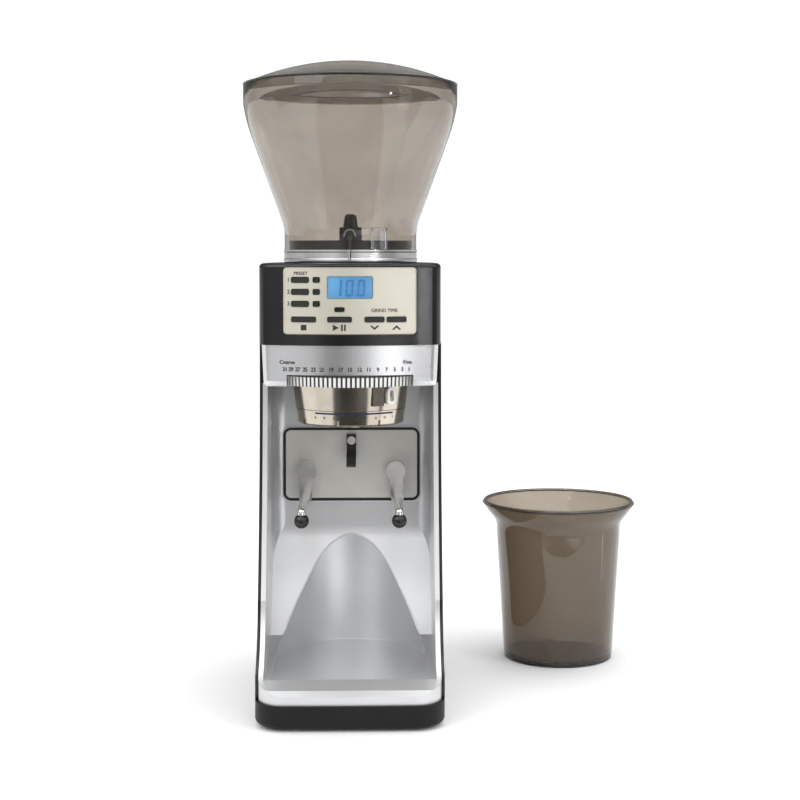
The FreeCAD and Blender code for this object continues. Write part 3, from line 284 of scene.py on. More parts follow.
printBlack = makeFinish("printBlack", grey(0.02), 0.15, 0.0, (0.45, 0.55), 300, 4000, 0.04)
printBlue = makeFinish("printBlue", (0.008, 0.012, 0.05), 0.15, 0.0, (0.4, 0.5), 300, 4000, 0.04)
digitBlue = makeFinish("digitBlue", (0.025, 0.16, 0.42), 0.1, 0.0, (0.3, 0.4), 300, 4000, 0.02)

slotOf = {part["node"]: part["material_slot"] for part in frame["record"]["subparts"]}
for name, node in nodes.items():
    node.data.materials.clear()
    node.data.materials.append(oddFinishes.get(name, finishes[slotOf[name]]))
print("finishes set on", len(nodes), "nodes")


# turned clear pieces

cornerShare = 0.3


# Points along the arc from start through via to end
def arcPoints(start, via, end, count):
    (ax, ay), (bx, by), (cx, cy) = start, via, end
    d = 2 * (ax * (by - cy) + bx * (cy - ay) + cx * (ay - by))
    sq = [x * x + y * y for x, y in (start, via, end)]
    ux = (sq[0] * (by - cy) + sq[1] * (cy - ay) + sq[2] * (ay - by)) / d
    uy = (sq[0] * (cx - bx) + sq[1] * (ax - cx) + sq[2] * (bx - ax)) / d
    radius = math.hypot(ax - ux, ay - uy)
    a0 = math.atan2(ay - uy, ax - ux)
    a1 = math.atan2(cy - uy, cx - ux)
    while a1 - a0 > math.pi:
        a1 -= 2 * math.pi
    while a0 - a1 > math.pi:
        a1 += 2 * math.pi
    steps = [a0 + (a1 - a0) * k / count for k in range(count + 1)]
    return [(ux + radius * math.cos(a), uy + radius * math.sin(a)) for a in steps]


# A closed outline of radius and height, drawn point by point and spun about Z
def spinPiece(name, outline, centre=(0.0, 0.0), steps=128):
    dropSelection()
    bpy.ops.mesh.primitive_plane_add(size=mm)
    piece = bpy.context.object
    piece.name = name
    editAll(piece)
    bpy.ops.mesh.merge(type="CENTER")
    bpy.ops.transform.translate(value=(outline[0][0] * mm, 0, outline[0][1] * mm))
    for (r0, z0), (r1, z1) in zip(outline, outline[1:]):
        step = ((r1 - r0) * mm, 0, (z1 - z0) * mm)
        bpy.ops.mesh.extrude_region_move(TRANSFORM_OT_translate={"value": step})
    bpy.ops.mesh.select_all(action="SELECT")
    bpy.ops.mesh.spin(steps=steps, angle=2 * math.pi, center=(0, 0, 0), axis=(0, 0, 1))
    bpy.ops.mesh.select_all(action="SELECT")
    bpy.ops.mesh.remove_doubles(threshold=1e-6)
    bpy.ops.mesh.normals_make_consistent(inside=False)
    bpy.ops.transform.translate(value=(centre[0] * mm, centre[1] * mm, 0))
    leaveEdit()
    smoothPiece(piece, 40)
    return piece


hopper = {"rim": 63.2, "rimTop": 364.6, "rimLow": 354.0, "shoulder": (61.4, 345.0),
          "coneTop": (57.7, 333.0), "neck": 39.0, "neckTop": 281.0, "neckLow": 268.0, "wall": 2.5,
          "edge": 0.7, "bend": 5.0}


def hopperOutline(inset):
    (shoulderR, shoulderZ), (coneR, coneZ) = hopper["shoulder"], hopper["coneTop"]
    neck, neckZ, bend = hopper["neck"], hopper["neckTop"], hopper["bend"]
    bowl = arcPoints((hopper["rim"] - inset, hopper["rimLow"]), (shoulderR - inset, shoulderZ),
                     (coneR - inset, coneZ), 10)
    slope = (coneR - neck) / (coneZ - neckZ)
    low = (neck - inset, neckZ - bend)
    high = (neck - inset + slope * bend, neckZ + bend)
    turn = (neck - inset + slope * bend / 4, neckZ)
    return bowl + arcPoints(high, turn, low, 6) + [(neck - inset, hopper["neckLow"])]


def makeHopper():
    rim, edge, top = hopper["rim"], hopper["edge"], hopper["rimTop"]
    bore, soft = rim - hopper["wall"], cornerShare * edge
    outer = [(rim - edge, top), (rim - soft, top - soft), (rim, top - edge)] + hopperOutline(0)
    inner = hopperOutline(hopper["wall"])[::-1]
    inner += [(bore, top - edge), (bore + soft, top - soft), (bore + edge, top)]
    piece = spinPiece("hopperBowl", outer + inner + outer[:1])
    seat(piece, "hopper", finishes["smoked_clear"], ["hopper_shell"])


lid = {"top": 378.8, "edge": (61.7, 365.6), "rim": 63.2, "skirt": 364.9, "thick": 2.2, "plug": 60.2,
       "plugLow": 359.6, "plugWall": 2.0, "plugRound": 0.5, "rimBend": (0.36, 0.4), "lip": 0.4,
       "skirtEdge": 0.1}


def makeLid():
    edgeR, edgeZ = lid["edge"]
    rise = lid["top"] - edgeZ
    dome = (edgeR ** 2 + rise ** 2) / (2 * rise)
    middle = lid["top"] - dome

    def bow(radius, reach, count):
        steps = [reach * k / count for k in range(count + 1)]
        return [(r, middle + math.sqrt(radius ** 2 - r ** 2)) for r in steps]

    bendR, bendZ = lid["rimBend"]
    rim = arcPoints(lid["edge"], (lid["rim"] - bendR, edgeZ - bendZ),
                    (lid["rim"], lid["skirt"] + lid["skirtEdge"]), 4)[1:]
    side, low, soft = lid["plug"], lid["plugLow"], lid["plugRound"]
    hollow = side - lid["plugWall"]
    plug = [(lid["rim"] - lid["lip"], lid["skirt"]), (side, lid["skirt"]), (side, low + soft),
            (side - soft, low), (hollow + soft, low), (hollow, low + soft)]
    curve, under = bow(dome, edgeR, 16), bow(dome - lid["thick"], hollow, 14)[::-1]
    piece = spinPiece("hopperLidDome", curve + rim + plug + under)
    seat(piece, "lid", lidSmoked, ["hopper_lid"])


binCup = {"place": (136.0, 98.0), "height": 103.5, "low": 35.7, "neck": 41.0, "rim": 49.3, "neckZ": 89.5,
          "rimEdge": 2.6, "wall": 2.2, "floor": 3.0, "round": 3.0, "bendR": 0.3, "bendZ": 5.0,
          "flareMid": 0.4, "flareEnd": (2.2, 3.0), "lip": 0.6, "mouthLip": 0.5, "lift": 0.4,
          "floorRound": 1.5}


def makeBin():
    b = binCup
    edge = b["height"] - b["rimEdge"]
    bend = cornerShare * b["round"]
    foot = arcPoints((b["low"] - b["round"], 0), (b["low"] - bend, bend), (b["low"], b["round"]), 5)
    neck, neckZ, (outR, outZ) = b["neck"], b["neckZ"], b["flareEnd"]
    flare = arcPoints((neck - b["bendR"], neckZ - b["bendZ"]), (neck + b["flareMid"], neckZ),
                      (neck + outR, neckZ + outZ), 6)
    rim, top, low = b["rim"], b["height"], b["low"] - b["wall"]
    mouth = rim - b["wall"]
    lip, inLip, lift, soft = b["lip"], b["mouthLip"], b["lift"], b["floorRound"]
    outer = [(0, 0)] + foot + flare + [(rim, edge), (rim, top - lip), (rim - lip, top)]
    inner = [(mouth + inLip, top), (mouth, top - inLip), (mouth, edge + lift)]
    inner += [(r - b["wall"], z + lift) for r, z in flare[::-1]]
    inner += [(low, b["floor"] + soft), (low - soft, b["floor"]), (0, b["floor"])]
    piece = spinPiece("groundsCup", outer + inner, b["place"])
    seat(piece, "bin", binSmoked, ["grounds_bin"])


makeHopper()
makeLid()
makeBin()
print("clear pieces turned")


# printed marks that follow a bowed or round face; bow is the radius of an arc 104.6 wide and 12 deep

head = {"bow": (52.3 ** 2 + 12.0 ** 2) / 24.0, "front": -44.0, "panelProud": 0.8, "ink": 0.05,
        "bold": 0.026}


def onBow(proud):
    centre = head["front"] + head["bow"]

    def place(u, v, w):
        return Vector((u, centre - math.sqrt((head["bow"] + proud) ** 2 - u ** 2) - w, v)) * mm
    return place


def onRing(radius, level=0.0, flare=0.0):
    def place(u, v, w):
        angle = u / radius
        out = radius + w + flare * (v - level)
        return Vector((out * math.sin(angle), -out * math.cos(angle), v)) * mm
    return place


def wrap(piece, surface):
    for vertex in piece.data.vertices:
        vertex.co = surface(vertex.co.x, vertex.co.y, vertex.co.z)


def joinPieces(name, members):
    dropSelection()
    for member in members:
        member.select_set(True)
    bpy.context.view_layer.objects.active = members[0]
    bpy.ops.object.join()
    whole = bpy.context.object
    whole.name = name
    return whole


# Words in four shifted copies, which makes the strokes bolder
def makeText(name, words, size, spot, surface, spread=1.0):
    copies, shift = [], head["bold"] * size
    for du, dv in ((shift, 0), (-shift, 0), (0, shift), (0, -shift)):
        dropSelection()
        bpy.ops.object.text_add()
        label = bpy.context.object
        label.data.body = words
        label.data.size = size
        label.data.space_character = spread
        label.data.align_x = "CENTER"
        label.data.align_y = "CENTER"
        label.data.extrude = head["ink"] / 2
        bpy.ops.object.convert(target="MESH")
        label = bpy.context.object
        for vertex in label.data.vertices:
            vertex.co += Vector((spot[0] + du, spot[1] + dv, head["ink"] / 2))
        wrap(label, surface)
        copies.append(label)
    return joinPieces(name, copies)


# A flat shape given by its corners, thickened and laid on a surface
def makeShape(name, corners, surface, fine=0):
    dropSelection()
    bpy.ops.mesh.primitive_circle_add(vertices=len(corners), fill_type="NGON")
    shape = bpy.context.object
    shape.name = name
    for vertex, (u, v) in zip(shape.data.vertices, corners):
        vertex.co = (u, v, 0)
    editAll(shape)
    bpy.ops.mesh.normals_make_consistent(inside=False)
    bpy.ops.mesh.extrude_region_move(TRANSFORM_OT_translate={"value": (0, 0, head["ink"])})
    bpy.ops.mesh.select_all(action="SELECT")
    bpy.ops.mesh.normals_make_consistent(inside=False)
    if fine:
        bpy.ops.mesh.subdivide(number_cuts=fine)
    leaveEdit()
    wrap(shape, surface)
    return shape


def rect(u0, u1, v0, v1):
    return [(u0, v0), (u1, v0), (u1, v1), (u0, v1)]


panelMarks = {"presetRows": (250.95, 244.15, 237.35), "digitX": -34.9, "presetWord": (-27.9, 254.6),
              "timeWord": (19.6, 233.6), "iconZ": 223.9, "stopX": -26.2, "playX": -5.8, "downX": 14.0,
              "upX": 26.5, "small": 2.5, "digit": 3.2, "word": 2.7, "stop": 1.6, "play": 1.8, "arm": 2.5,
              "playFrom": -3.8, "playTo": -0.4, "pauses": (0.8, 2.5), "pauseWidth": 1.0, "stroke": 0.7,
              "tip": 1.3, "tail": (-0.9, -1.5)}


def makePanelMarks():
    m = panelMarks
    face = onBow(head["panelProud"])
    parts = [makeText("mark", str(k + 1), m["digit"], (m["digitX"], z), face)
             for k, z in enumerate(m["presetRows"])]
    parts.append(makeText("mark", "PRESET", m["small"], m["presetWord"], face))
    parts.append(makeText("mark", "GRIND TIME", m["word"], m["timeWord"], face))
    z, half = m["iconZ"], m["stop"]
    parts.append(makeShape("mark", rect(m["stopX"] - half, m["stopX"] + half, z - half, z + half), face))
    x, half = m["playX"], m["play"]
    start, end = x + m["playFrom"], x + m["playTo"]
    parts.append(makeShape("mark", [(start, z - half), (end, z), (start, z + half)], face))
    for shift in m["pauses"]:
        bar = rect(x + shift, x + shift + m["pauseWidth"], z - half, z + half)
        parts.append(makeShape("mark", bar, face))
    arm, inner, (high, low) = m["arm"], m["arm"] - m["stroke"], m["tail"]
    chevron = [(-arm, high), (0, m["tip"]), (arm, high), (inner, low), (0, 0), (-inner, low)]
    for x, up in ((m["downX"], -1), (m["upX"], 1)):
        parts.append(makeShape("mark", [(x + u, z + up * v) for u, v in chevron[::up]], face))
    piece = joinPieces("panelPrint", parts)
    seat(piece, "housing", printBlack)


scaleMarks = {"count": 31, "reach": 45.7, "step": 0.0593, "zero": 15, "z": 199.8, "size": 3.2,
              "spread": 0.86, "wordZ": 203.9, "word": 3.0, "coarseX": -35.9, "fineX": 32.8, "inset": 1.88,
              "wordInset": 1.72}


def makeScaleMarks():
    m = scaleMarks
    face = onBow(-m["inset"])
    parts = []
    for n in range(1, m["count"] + 1, 2):
        across = m["reach"] * math.sin(m["step"] * (m["zero"] - n))
        parts.append(makeText("mark", str(n), m["size"], (across, m["z"]), face, m["spread"]))
    upper = onBow(-m["wordInset"])
    parts.append(makeText("mark", "Coarse", m["word"], (m["coarseX"], m["wordZ"]), upper))
    parts.append(makeText("mark", "Fine", m["word"], (m["fineX"], m["wordZ"]), upper))
    piece = joinPieces("scalePrint", parts)
    seat(piece, "housing", printBlack)


microMarks = {"radius": 32.43, "flare": 0.139, "lineZ": 173.6, "from": -22.0, "to": 28.0, "line": 0.5,
              "letters": "ABCDEFGHI", "letterZ": 171.0, "size": 2.0}


def makeMicroMarks():
    m = microMarks
    face = onRing(m["radius"], m["lineZ"], m["flare"])
    line = rect(m["from"], m["to"], m["lineZ"] - m["line"], m["lineZ"] + m["line"])
    parts = [makeShape("mark", line, face, 24)]
    pitch = (m["to"] - m["from"]) / (len(m["letters"]) - 1)
    for k, letter in enumerate(m["letters"]):
        parts.append(makeText("mark", letter, m["size"], (m["from"] + k * pitch, m["letterZ"]), face))
    piece = joinPieces("microPrint", parts)
    seat(piece, "micro", printBlue)


display = {"digits": "10.0", "height": 9.6, "width": 4.4, "thick": 1.2, "lean": 0.06, "start": -9.2,
           "z": 246.4, "pitch": 6.6, "gap": 0.2, "point": (-0.9, -0.1, 0, 0.8)}
segments = {"0": "abcdef", "1": "bc"}


def makeDigits():
    d = display
    face = onBow(head["panelProud"])
    h, w, t, gap = d["height"] / 2, d["width"], d["thick"], d["gap"]
    bars = {"a": rect(t, w - t, 2 * h - t, 2 * h), "d": rect(t, w - t, 0, t),
            "b": rect(w - t, w, h + gap, 2 * h - gap), "c": rect(w - t, w, gap, h - gap),
            "e": rect(0, t, gap, h - gap), "f": rect(0, t, h + gap, 2 * h - gap)}
    parts = []
    x = d["start"]
    for sign in d["digits"]:
        shapes = [rect(*d["point"])] if sign == "." else [bars[s] for s in segments[sign]]
        for corners in shapes:
            spot = [(x + u + d["lean"] * v, d["z"] - h + v) for u, v in corners]
            parts.append(makeShape("digit", spot, face))
        x += 0.0 if sign == "." else d["pitch"]
    piece = joinPieces("displayDigits", parts)
    seat(piece, "housing", digitBlue)


# raised edges that follow a rounded rectangle on the bowed face

trim = {"panel": (-37.75, 37.75, 220.25, 257.95), "panelCorner": 2.2, "panelWidth": 0.7, "rise": 0.3,
        "keyWidth": 0.45, "keyCorner": 0.85, "keyGap": 0.25, "keyRise": 0.22, "lightU": (-20.8, -17.1),
        "lightHalf": 1.45, "startLight": (-8.5, -3.1, 233.0, 235.3)}


def roundedLoop(span, r, count=6):
    u0, u1, v0, v1 = span
    loop = []
    corners = ((u1 - r, v0 + r, -90), (u1 - r, v1 - r, 0), (u0 + r, v1 - r, 90), (u0 + r, v0 + r, 180))
    for cu, cv, start in corners:
        for k in range(count + 1):
            a = math.radians(start + 90 * k / count)
            loop.append((cu + r * math.cos(a), cv + r * math.sin(a)))
    fine = []
    for (ua, va), (ub, vb) in zip(loop, loop[1:] + loop[:1]):
        cuts = max(1, int(math.hypot(ub - ua, vb - va) / 3))
        fine += [(ua + (ub - ua) * k / cuts, va + (vb - va) * k / cuts) for k in range(cuts)]
    return fine


# Four loops make a low ridge: outer foot, two at the crest and inner foot, closed underneath
def makeTrim(name, span, corner, width, rise, surface):
    foot = -head["ink"] * 4
    outer = roundedLoop(span, corner)
    shares = [(0, foot), (0.35, rise), (0.65, rise), (1, foot)]
    middle = ((span[0] + span[1]) / 2, (span[2] + span[3]) / 2)
    halfU, halfV = (span[1] - span[0]) / 2, (span[3] - span[2]) / 2
    dropSelection()
    bpy.ops.mesh.primitive_circle_add(vertices=len(outer), fill_type="NOTHING")
    ridge = bpy.context.object
    ridge.name = name
    for vertex, (u, v) in zip(ridge.data.vertices, outer):
        vertex.co = (u, v, shares[0][1])
    editAll(ridge)
    for (s0, w0), (s1, w1) in zip(shares, shares[1:] + shares[:1]):
        step = width * (s1 - s0)
        done = width * s0
        scale = ((halfU - done - step) / (halfU - done), (halfV - done - step) / (halfV - done), 1)
        bpy.ops.mesh.extrude_region_move(TRANSFORM_OT_translate={"value": (0, 0, w1 - w0)})
        bpy.ops.transform.resize(value=scale, center_override=(middle[0], middle[1], 0))
    bpy.ops.mesh.select_all(action="SELECT")
    bpy.ops.mesh.remove_doubles(threshold=0.002)
    bpy.ops.mesh.normals_make_consistent(inside=False)
    leaveEdit()
    wrap(ridge, surface)
    return ridge


def makeTrims():
    face = onBow(head["panelProud"])
    t = trim
    parts = [makeTrim("trim", t["panel"], t["panelCorner"], t["panelWidth"], t["rise"], face)]
    grow = t["keyGap"] + t["keyWidth"]
    for u0, u1, v0, v1 in keyBoxes():
        span = (u0 - grow, u1 + grow, v0 - grow, v1 + grow)
        corner = t["keyCorner"] + t["keyWidth"]
        parts.append(makeTrim("trim", span, corner, t["keyWidth"], t["keyRise"], face))
    piece = joinPieces("panelTrim", parts)
    smoothPiece(piece, 50)
    seat(piece, "housing", finishes["champagne_panel"])


# Spans across and up of the keys and the window, read from the frame, and of the lights
def keyBoxes():
    spans = []
    for name in nodes:
        if name.endswith("_button") or name.startswith("preset_button") or name == "display_window":
            low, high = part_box(name)
            spans.append((low[0] / mm, high[0] / mm, low[2] / mm, high[2] / mm))
    half = trim["lightHalf"]
    lights = [(*trim["lightU"], z - half, z + half) for z in panelMarks["presetRows"]]
    return spans + lights + [trim["startLight"]]


makePanelMarks()
makeScaleMarks()
makeMicroMarks()
makeDigits()
makeTrims()
print("printed marks and trims made")


# small mouldings on the clear pieces, near-black hoops and blocks of painted shade at their seams and
# edges, and beads on the silver front

def makeBlock(name, span, surface, soft=0.15):
    (u0, u1), (v0, v1), (w0, w1) = span
    dropSelection()
    bpy.ops.mesh.primitive_cube_add(size=1)
    block = bpy.context.object
    block.name = name
    editAll(block)
    bpy.ops.transform.resize(value=(u1 - u0, v1 - v0, w1 - w0))
    bpy.ops.transform.translate(value=((u0 + u1) / 2, (v0 + v1) / 2, (w0 + w1) / 2))
    if soft:
        bpy.ops.mesh.bevel(offset=soft, segments=2, affect="EDGES")
    bpy.ops.mesh.select_all(action="SELECT")
    bpy.ops.mesh.normals_make_consistent(inside=False)
    leaveEdit()
    wrap(block, surface)
    return block


# A bent rod through points given in millimetres
def makeBead(name, points, radius):
    dropSelection()
    bpy.ops.mesh.primitive_plane_add(size=mm)
    path = bpy.context.object
    path.name = name
    editAll(path)
    bpy.ops.mesh.merge(type="CENTER")
    bpy.ops.transform.translate(value=[c * mm for c in points[0]])
    for start, end in zip(points, points[1:]):
        step = [(b - a) * mm for a, b in zip(start, end)]
        bpy.ops.mesh.extrude_region_move(TRANSFORM_OT_translate={"value": step})
    leaveEdit()
    bpy.ops.object.convert(target="CURVE")
    path.data.bevel_depth = radius * mm
    path.data.bevel_resolution = 3
    path.data.use_fill_caps = True
    bpy.ops.object.convert(target="MESH")
    smoothPiece(bpy.context.object, 60)
    return bpy.context.object


def makeHoop(name, radius, level, thick, centre=(0.0, 0.0)):
    dropSelection()
    bpy.ops.mesh.primitive_torus_add(major_radius=radius * mm, minor_radius=thick * mm, major_segments=128,
                                     minor_segments=10)
    hoop = bpy.context.object
    hoop.name = name
    editAll(hoop)
    bpy.ops.transform.translate(value=(centre[0] * mm, centre[1] * mm, level * mm))
    leaveEdit()
    smoothPiece(hoop, 60)
    return hoop


hopperTab = {"u": (12.3, 21.9), "v": (268.4, 280.6), "foot": 0.1, "rise": 1.7, "edge": 0.9, "bar": 274.6,
             "barHalf": 0.3, "barRise": 1.0, "backRise": 0.5}


def makeHopperTab():
    t = hopperTab
    (u0, u1), (v0, v1), edge = t["u"], t["v"], t["edge"]
    neck = onRing(hopper["neck"])
    high = (t["foot"], t["rise"])
    inside = (u0 + edge, u1 - edge)
    bar = (t["bar"] - t["barHalf"], t["bar"] + t["barHalf"])
    parts = [makeBlock("tab", ((u0, u0 + edge), (v0, v1), high), neck),
             makeBlock("tab", ((u1 - edge, u1), (v0, v1), high), neck),
             makeBlock("tab", ((u0, u1), (v1 - edge, v1), high), neck),
             makeBlock("tab", (inside, bar, (t["foot"], t["barRise"])), neck),
             makeBlock("tab", (inside, (v0, v1 - edge), (t["foot"], t["backRise"])), neck, 0)]
    seat(joinPieces("neckTab", parts), "hopper", tabClear)


neckIndex = {"half": 0.75, "low": 268.2, "top": 276.4, "rise": (0.1, 1.0), "boss": 3.2, "sweep": 110,
             "bead": 0.45, "beadOut": 0.5}


# A rib with an open ring on top
def makeNeckIndex():
    n = neckIndex
    neck = onRing(hopper["neck"])
    turns = [math.radians(d) for d in range(-n["sweep"], n["sweep"] + 1, 10)]
    ring = [(n["boss"] * math.sin(a), n["top"] + n["boss"] * math.cos(a)) for a in turns]
    arch = [tuple(c / mm for c in neck(u, v, n["beadOut"])) for u, v in ring]
    parts = [makeBlock("index", ((-n["half"], n["half"]), (n["low"], n["top"]), n["rise"]), neck),
             makeBead("index", arch, n["bead"])]
    seat(joinPieces("neckIndex", parts), "hopper", finishes["smoked_clear"])


collarSeam = {"span": (261.8, 267.8), "proud": 0.2, "bar": (-0.99, -0.09), "barRise": (0.02, 0.5),
              "gap": (0.18, 0.63), "gapRise": (0.02, 0.46)}


def makeCollarSeam():
    c = collarSeam
    collar = onRing(hopper["neck"] + c["proud"])
    bar = makeBlock("seam", (c["bar"], c["span"], c["barRise"]), collar, 0.1)
    seat(bar, "hopper", finishes["satin_ring"])
    # a near-black block in the seam gap paints the shadow in the gap
    gap = makeBlock("seamShadow", (c["gap"], c["span"], c["gapRise"]), collar, 0.05)
    seat(gap, "hopper", paintedShadeLine)


lidSeamShadow = {"inset": 0.2, "lift": 0.2, "thick": 0.5}


# a near-black hoop at the lid's skirt paints the shadow line in the seam between lid and hopper
def makeLidEdge():
    radius, height = lid["rim"] - lidSeamShadow["inset"], lid["skirt"] + lidSeamShadow["lift"]
    hoop = makeHoop("lidSeamShadow", radius, height, lidSeamShadow["thick"])
    seat(hoop, "lid", paintedShadeLine)


binMarks = {"rib": (-12.6, -8.0), "ribZ": (2.6, 19.0), "ribRise": (0.02, 0.7), "seamU": 23.5,
            "seamZ": (56.0, 87.0), "seam": 0.3, "seamRise": (0.02, 0.35), "edge": 0.45, "rimOut": 0.1,
            "rimDown": 1.6, "footIn": 0.9, "footZ": 0.95}


# Wall of the bin: u runs round the front from its middle, v up, w outward
def onBin(u, v, w):
    share = (v - binCup["round"]) / (binCup["neckZ"] - binCup["bendZ"] - binCup["round"])
    out = binCup["low"] + (binCup["neck"] - binCup["bendR"] - binCup["low"]) * share + w
    angle = u / binCup["low"]
    x, y = binCup["place"]
    return Vector((x + out * math.sin(angle), y - out * math.cos(angle), v)) * mm


def makeBinMarks():
    m = binMarks
    line = (m["seamU"] - m["seam"], m["seamU"] + m["seam"])
    parts = [makeBlock("mark", (m["rib"], m["ribZ"], m["ribRise"]), onBin, 0.2),
             makeBlock("mark", (line, m["seamZ"], m["seamRise"]), onBin, 0.1)]
    seat(joinPieces("binMarks", parts), "bin", binSmoked)
    # near-black hoops round the rim and the foot paint dark lines of shade there
    rim, top = binCup["rim"] + m["rimOut"], binCup["height"] - m["rimDown"]
    parts = [makeHoop("edge", rim, top, m["edge"], binCup["place"]),
             makeHoop("edge", binCup["low"] - m["footIn"], m["footZ"], m["edge"], binCup["place"])]
    seat(joinPieces("binShadeLines", parts), "bin", paintedShadeLine)


pocket = {"radius": 45.0, "y": 2.0, "floor": 24.0, "bead": 0.5, "wall": 47.9, "corner": 5.4, "grow": 0.4,
          "sweep": (7, 166), "lift": 0.1,
          "ramp": [(6.0, 26.0), (19.5, 33.3), (39.0, 67.0), (46.4, 88.2), (48.0, 97.7)],
          "bends": {1: (30.8, 49.2), 3: (47.6, 92.9)}}


# Height of the pocket's ramp at a depth y
def rampHeight(y):
    ramp = pocket["ramp"]
    line = []
    for k, (start, end) in enumerate(zip(ramp, ramp[1:])):
        line += arcPoints(start, pocket["bends"][k], end, 12) if k in pocket["bends"] else [start, end]
    for (y0, z0), (y1, z1) in zip(line, line[1:]):
        if y0 <= y <= y1 and y1 > y0:
            return z0 + (z1 - z0) * (y - y0) / (y1 - y0)
    return ramp[-1][1]


def makePocketBeads():
    p = pocket
    arch, foot = [], []
    start, sweep = p["sweep"]
    for k in range(61):
        a = math.radians(start + sweep * k / 60)
        x, y = p["radius"] * math.cos(a), p["y"] + p["radius"] * math.sin(a)
        arch.append((x, y, rampHeight(y)))
        foot.append((x, y - p["lift"], p["floor"] + p["lift"]))
    low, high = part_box("holder_gasket")
    grow = p["grow"]
    span = (low[0] / mm - grow, high[0] / mm + grow, low[2] / mm - grow, high[2] / mm + grow)
    frameLoop = [(u, p["wall"], v) for u, v in roundedLoop(span, p["corner"])]
    parts = [makeBead("bead", arch, p["bead"]), makeBead("bead", foot, p["bead"]),
             makeBead("bead", frameLoop + frameLoop[:2], p["bead"])]
    seat(joinPieces("pocketBeads", parts), "housing", finishes["silver_paint"])


makeHopperTab()
makeNeckIndex()
makeCollarSeam()
makeLidEdge()
makeBinMarks()
makePocketBeads()
print("small mouldings made")


# floor, light and camera; each strip is a place across the room and its brightness

studio = {"eye": (0.0096, -0.919, 0.2656), "yaw": -1.23, "pitch": 88.15, "lens": 69.66, "sensor": 36.0,
          "shiftY": -0.12, "clip": (0.01, 50.0), "lampAim": (0.03, 0, 0.2),
          "dullLamps": ("fillLamp", "backLamp"), "floorSize": 40.0, "floorFront": 0.22,
          "sky": 1.12, "room": 1.0,
          "headStrips": [(0.0, 0.4), (0.15, 0.55), (0.3, 0.8), (0.38, 0.55), (0.45, 0.16), (0.52, 0.18),
                         (0.62, 0.5), (0.74, 0.9), (0.832, 0.3), (0.84, 25.0), (0.848, 25.0), (0.856, 0.25),
                         (1.0, 0.3)],
          "midStrips": [(0.0, 0.35), (0.1, 0.45), (0.2, 0.72), (0.31, 0.75), (0.37, 0.14), (0.44, 0.08),
                        (0.49, 0.4), (0.58, 0.9), (0.66, 2.3), (0.74, 2.3), (0.8, 0.8), (0.86, 0.15),
                        (1.0, 0.25)],
          "lowStrips": [(0.0, 1.2), (0.205, 1.2), (0.23, 0.14), (0.35, 0.06), (0.6, 0.05), (0.77, 0.1),
                        (0.795, 1.3), (0.915, 1.3), (0.94, 0.16), (1.0, 0.2)],
          "upperStrips": [(0.0, 0.5), (0.28, 0.8), (0.5, 0.4), (0.72, 1.0), (0.82, 0.6), (1.0, 0.4)],
          "midTurn": (-0.24, -0.21), "headTurn": (-0.06, -0.045), "upperTurn": (0.0, 0.03),
          "highTurn": (0.12, 0.5), "ceiling": grey(1.7), "backTurn": (-0.05, 0.2), "back": grey(0.3)}


def makeFloor():
    dropSelection()
    bpy.ops.mesh.primitive_plane_add(size=studio["floorSize"])
    floor = bpy.context.object
    floor.name = "studioFloor"
    editAll(floor)
    bpy.ops.transform.translate(value=(0, studio["floorSize"] / 2 - studio["floorFront"], 0))
    leaveEdit()
    pale = makeFinish("paleFloor", grey(0.93), 0.01, 0.0, (0.7, 0.8), 3, 400, 0.01, specular=0)
    floor.data.materials.append(pale)


# Goes from one shade to another while a value crosses its turn
def blend(tree, value, turn, first, second):
    share = addRange(tree, value, 0, 1)
    share.node.inputs["From Min"].default_value, share.node.inputs["From Max"].default_value = turn
    mix = tree.nodes.new("ShaderNodeMixRGB")
    tree.links.new(share, mix.inputs["Fac"])
    tree.links.new(first, mix.inputs["Color1"])
    if isinstance(second, tuple):
        mix.inputs["Color2"].default_value = (*second, 1)
    else:
        tree.links.new(second, mix.inputs["Color2"])
    return mix.outputs["Color"]


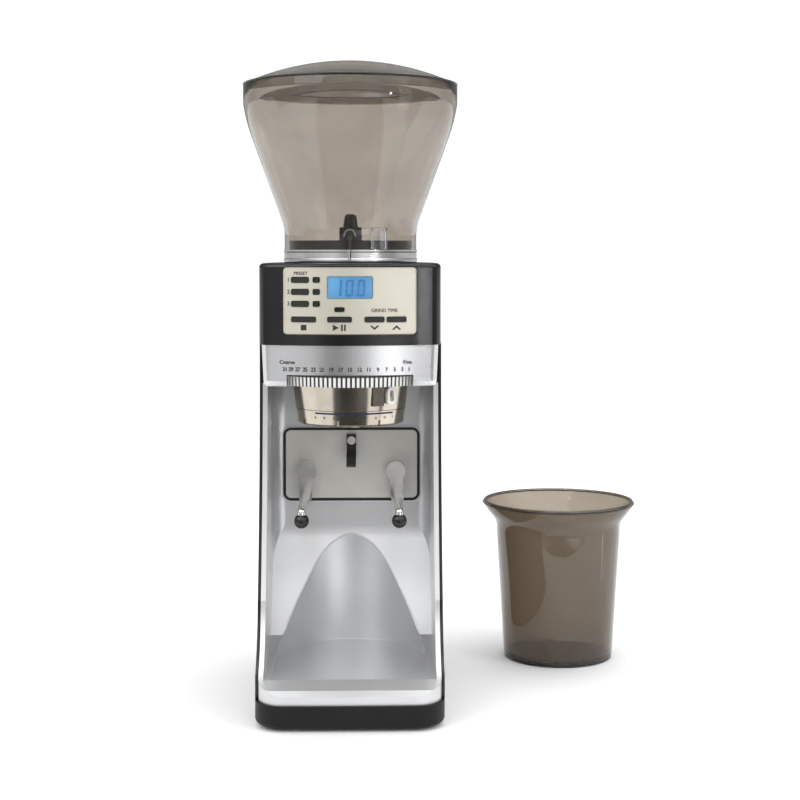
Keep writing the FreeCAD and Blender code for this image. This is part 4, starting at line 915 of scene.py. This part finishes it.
# White to the eye and for soft light; gloss sees a dim room with pale strips, so that metal shows bands
def makeWorld():
    world = bpy.data.worlds.new("studioSky")
    bpy.context.scene.world = world
    world.use_nodes = True
    tree = world.node_tree
    plain = tree.nodes["Background"]
    plain.inputs["Strength"].default_value = studio["sky"]
    plain.inputs["Color"].default_value = (1, 1, 1, 1)
    room = tree.nodes.new("ShaderNodeBackground")
    room.inputs["Strength"].default_value = studio["room"]
    place = tree.nodes.new("ShaderNodeTexCoord")
    split = tree.nodes.new("ShaderNodeSeparateXYZ")
    tree.links.new(place.outputs["Generated"], split.inputs["Vector"])
    across = addRange(tree, split.outputs["X"], 0, 1)
    across.node.inputs["From Min"].default_value = -1
    ramps = {level: addRamp(tree, across, [(spot, grey(v)) for spot, v in studio[level + "Strips"]])
             for level in ("low", "mid", "head", "upper")}
    rise = split.outputs["Z"]
    shade = ramps["low"]
    for level in ("mid", "head", "upper"):
        shade = blend(tree, rise, studio[level + "Turn"], shade, ramps[level])
    shade = blend(tree, rise, studio["highTurn"], shade, studio["ceiling"])
    shade = blend(tree, split.outputs["Y"], studio["backTurn"], shade, studio["back"])
    tree.links.new(shade, room.inputs["Color"])
    path = tree.nodes.new("ShaderNodeLightPath")
    mix = tree.nodes.new("ShaderNodeMixShader")
    gloss = tree.nodes.new("ShaderNodeMath")
    gloss.operation = "SUBTRACT"
    gloss.use_clamp = True
    tree.links.new(path.outputs["Is Glossy Ray"], gloss.inputs[0])
    tree.links.new(path.outputs["Is Transmission Ray"], gloss.inputs[1])
    tree.links.new(gloss.outputs["Value"], mix.inputs["Fac"])
    tree.links.new(plain.outputs["Background"], mix.inputs[1])
    tree.links.new(room.outputs["Background"], mix.inputs[2])
    tree.links.new(mix.outputs["Shader"], tree.nodes["World Output"].inputs["Surface"])


# spot, size and power of each lamp; gloss doesn't see the dull ones
lamps = {"keyLamp": ((-0.9, -0.9, 1.1), (0.8, 0.8), 4.0), "fillLamp": ((0.9, -0.5, 0.5), (0.3, 1.0), 3.0),
         "topLamp": ((0.1, 0.1, 1.4), (1.0, 1.0), 4.0), "backLamp": ((0.3, 1.2, 0.9), (1.2, 0.6), 3.0)}


def makeLamps():
    for name, (spot, size, power) in lamps.items():
        dropSelection()
        bpy.ops.object.light_add(type="AREA", location=spot)
        lamp = bpy.context.object
        lamp.name = name
        lamp.data.shape = "RECTANGLE"
        lamp.data.size, lamp.data.size_y = size
        lamp.data.energy = power
        lamp.visible_glossy = name not in studio["dullLamps"]
        aim = Vector(studio["lampAim"]) - Vector(spot)
        lamp.rotation_euler = aim.to_track_quat("-Z", "Y").to_euler()


def makeCamera():
    dropSelection()
    bpy.ops.object.camera_add(location=studio["eye"])
    camera = bpy.context.object
    camera.rotation_euler = (math.radians(studio["pitch"]), 0, math.radians(studio["yaw"]))
    camera.data.lens = studio["lens"]
    camera.data.sensor_width = studio["sensor"]
    camera.data.shift_y = studio["shiftY"]
    camera.data.clip_start, camera.data.clip_end = studio["clip"]
    bpy.context.scene.camera = camera


makeFloor()
makeWorld()
makeLamps()
makeCamera()
bpy.context.scene.view_settings.view_transform = "Standard"
print("studio ready")
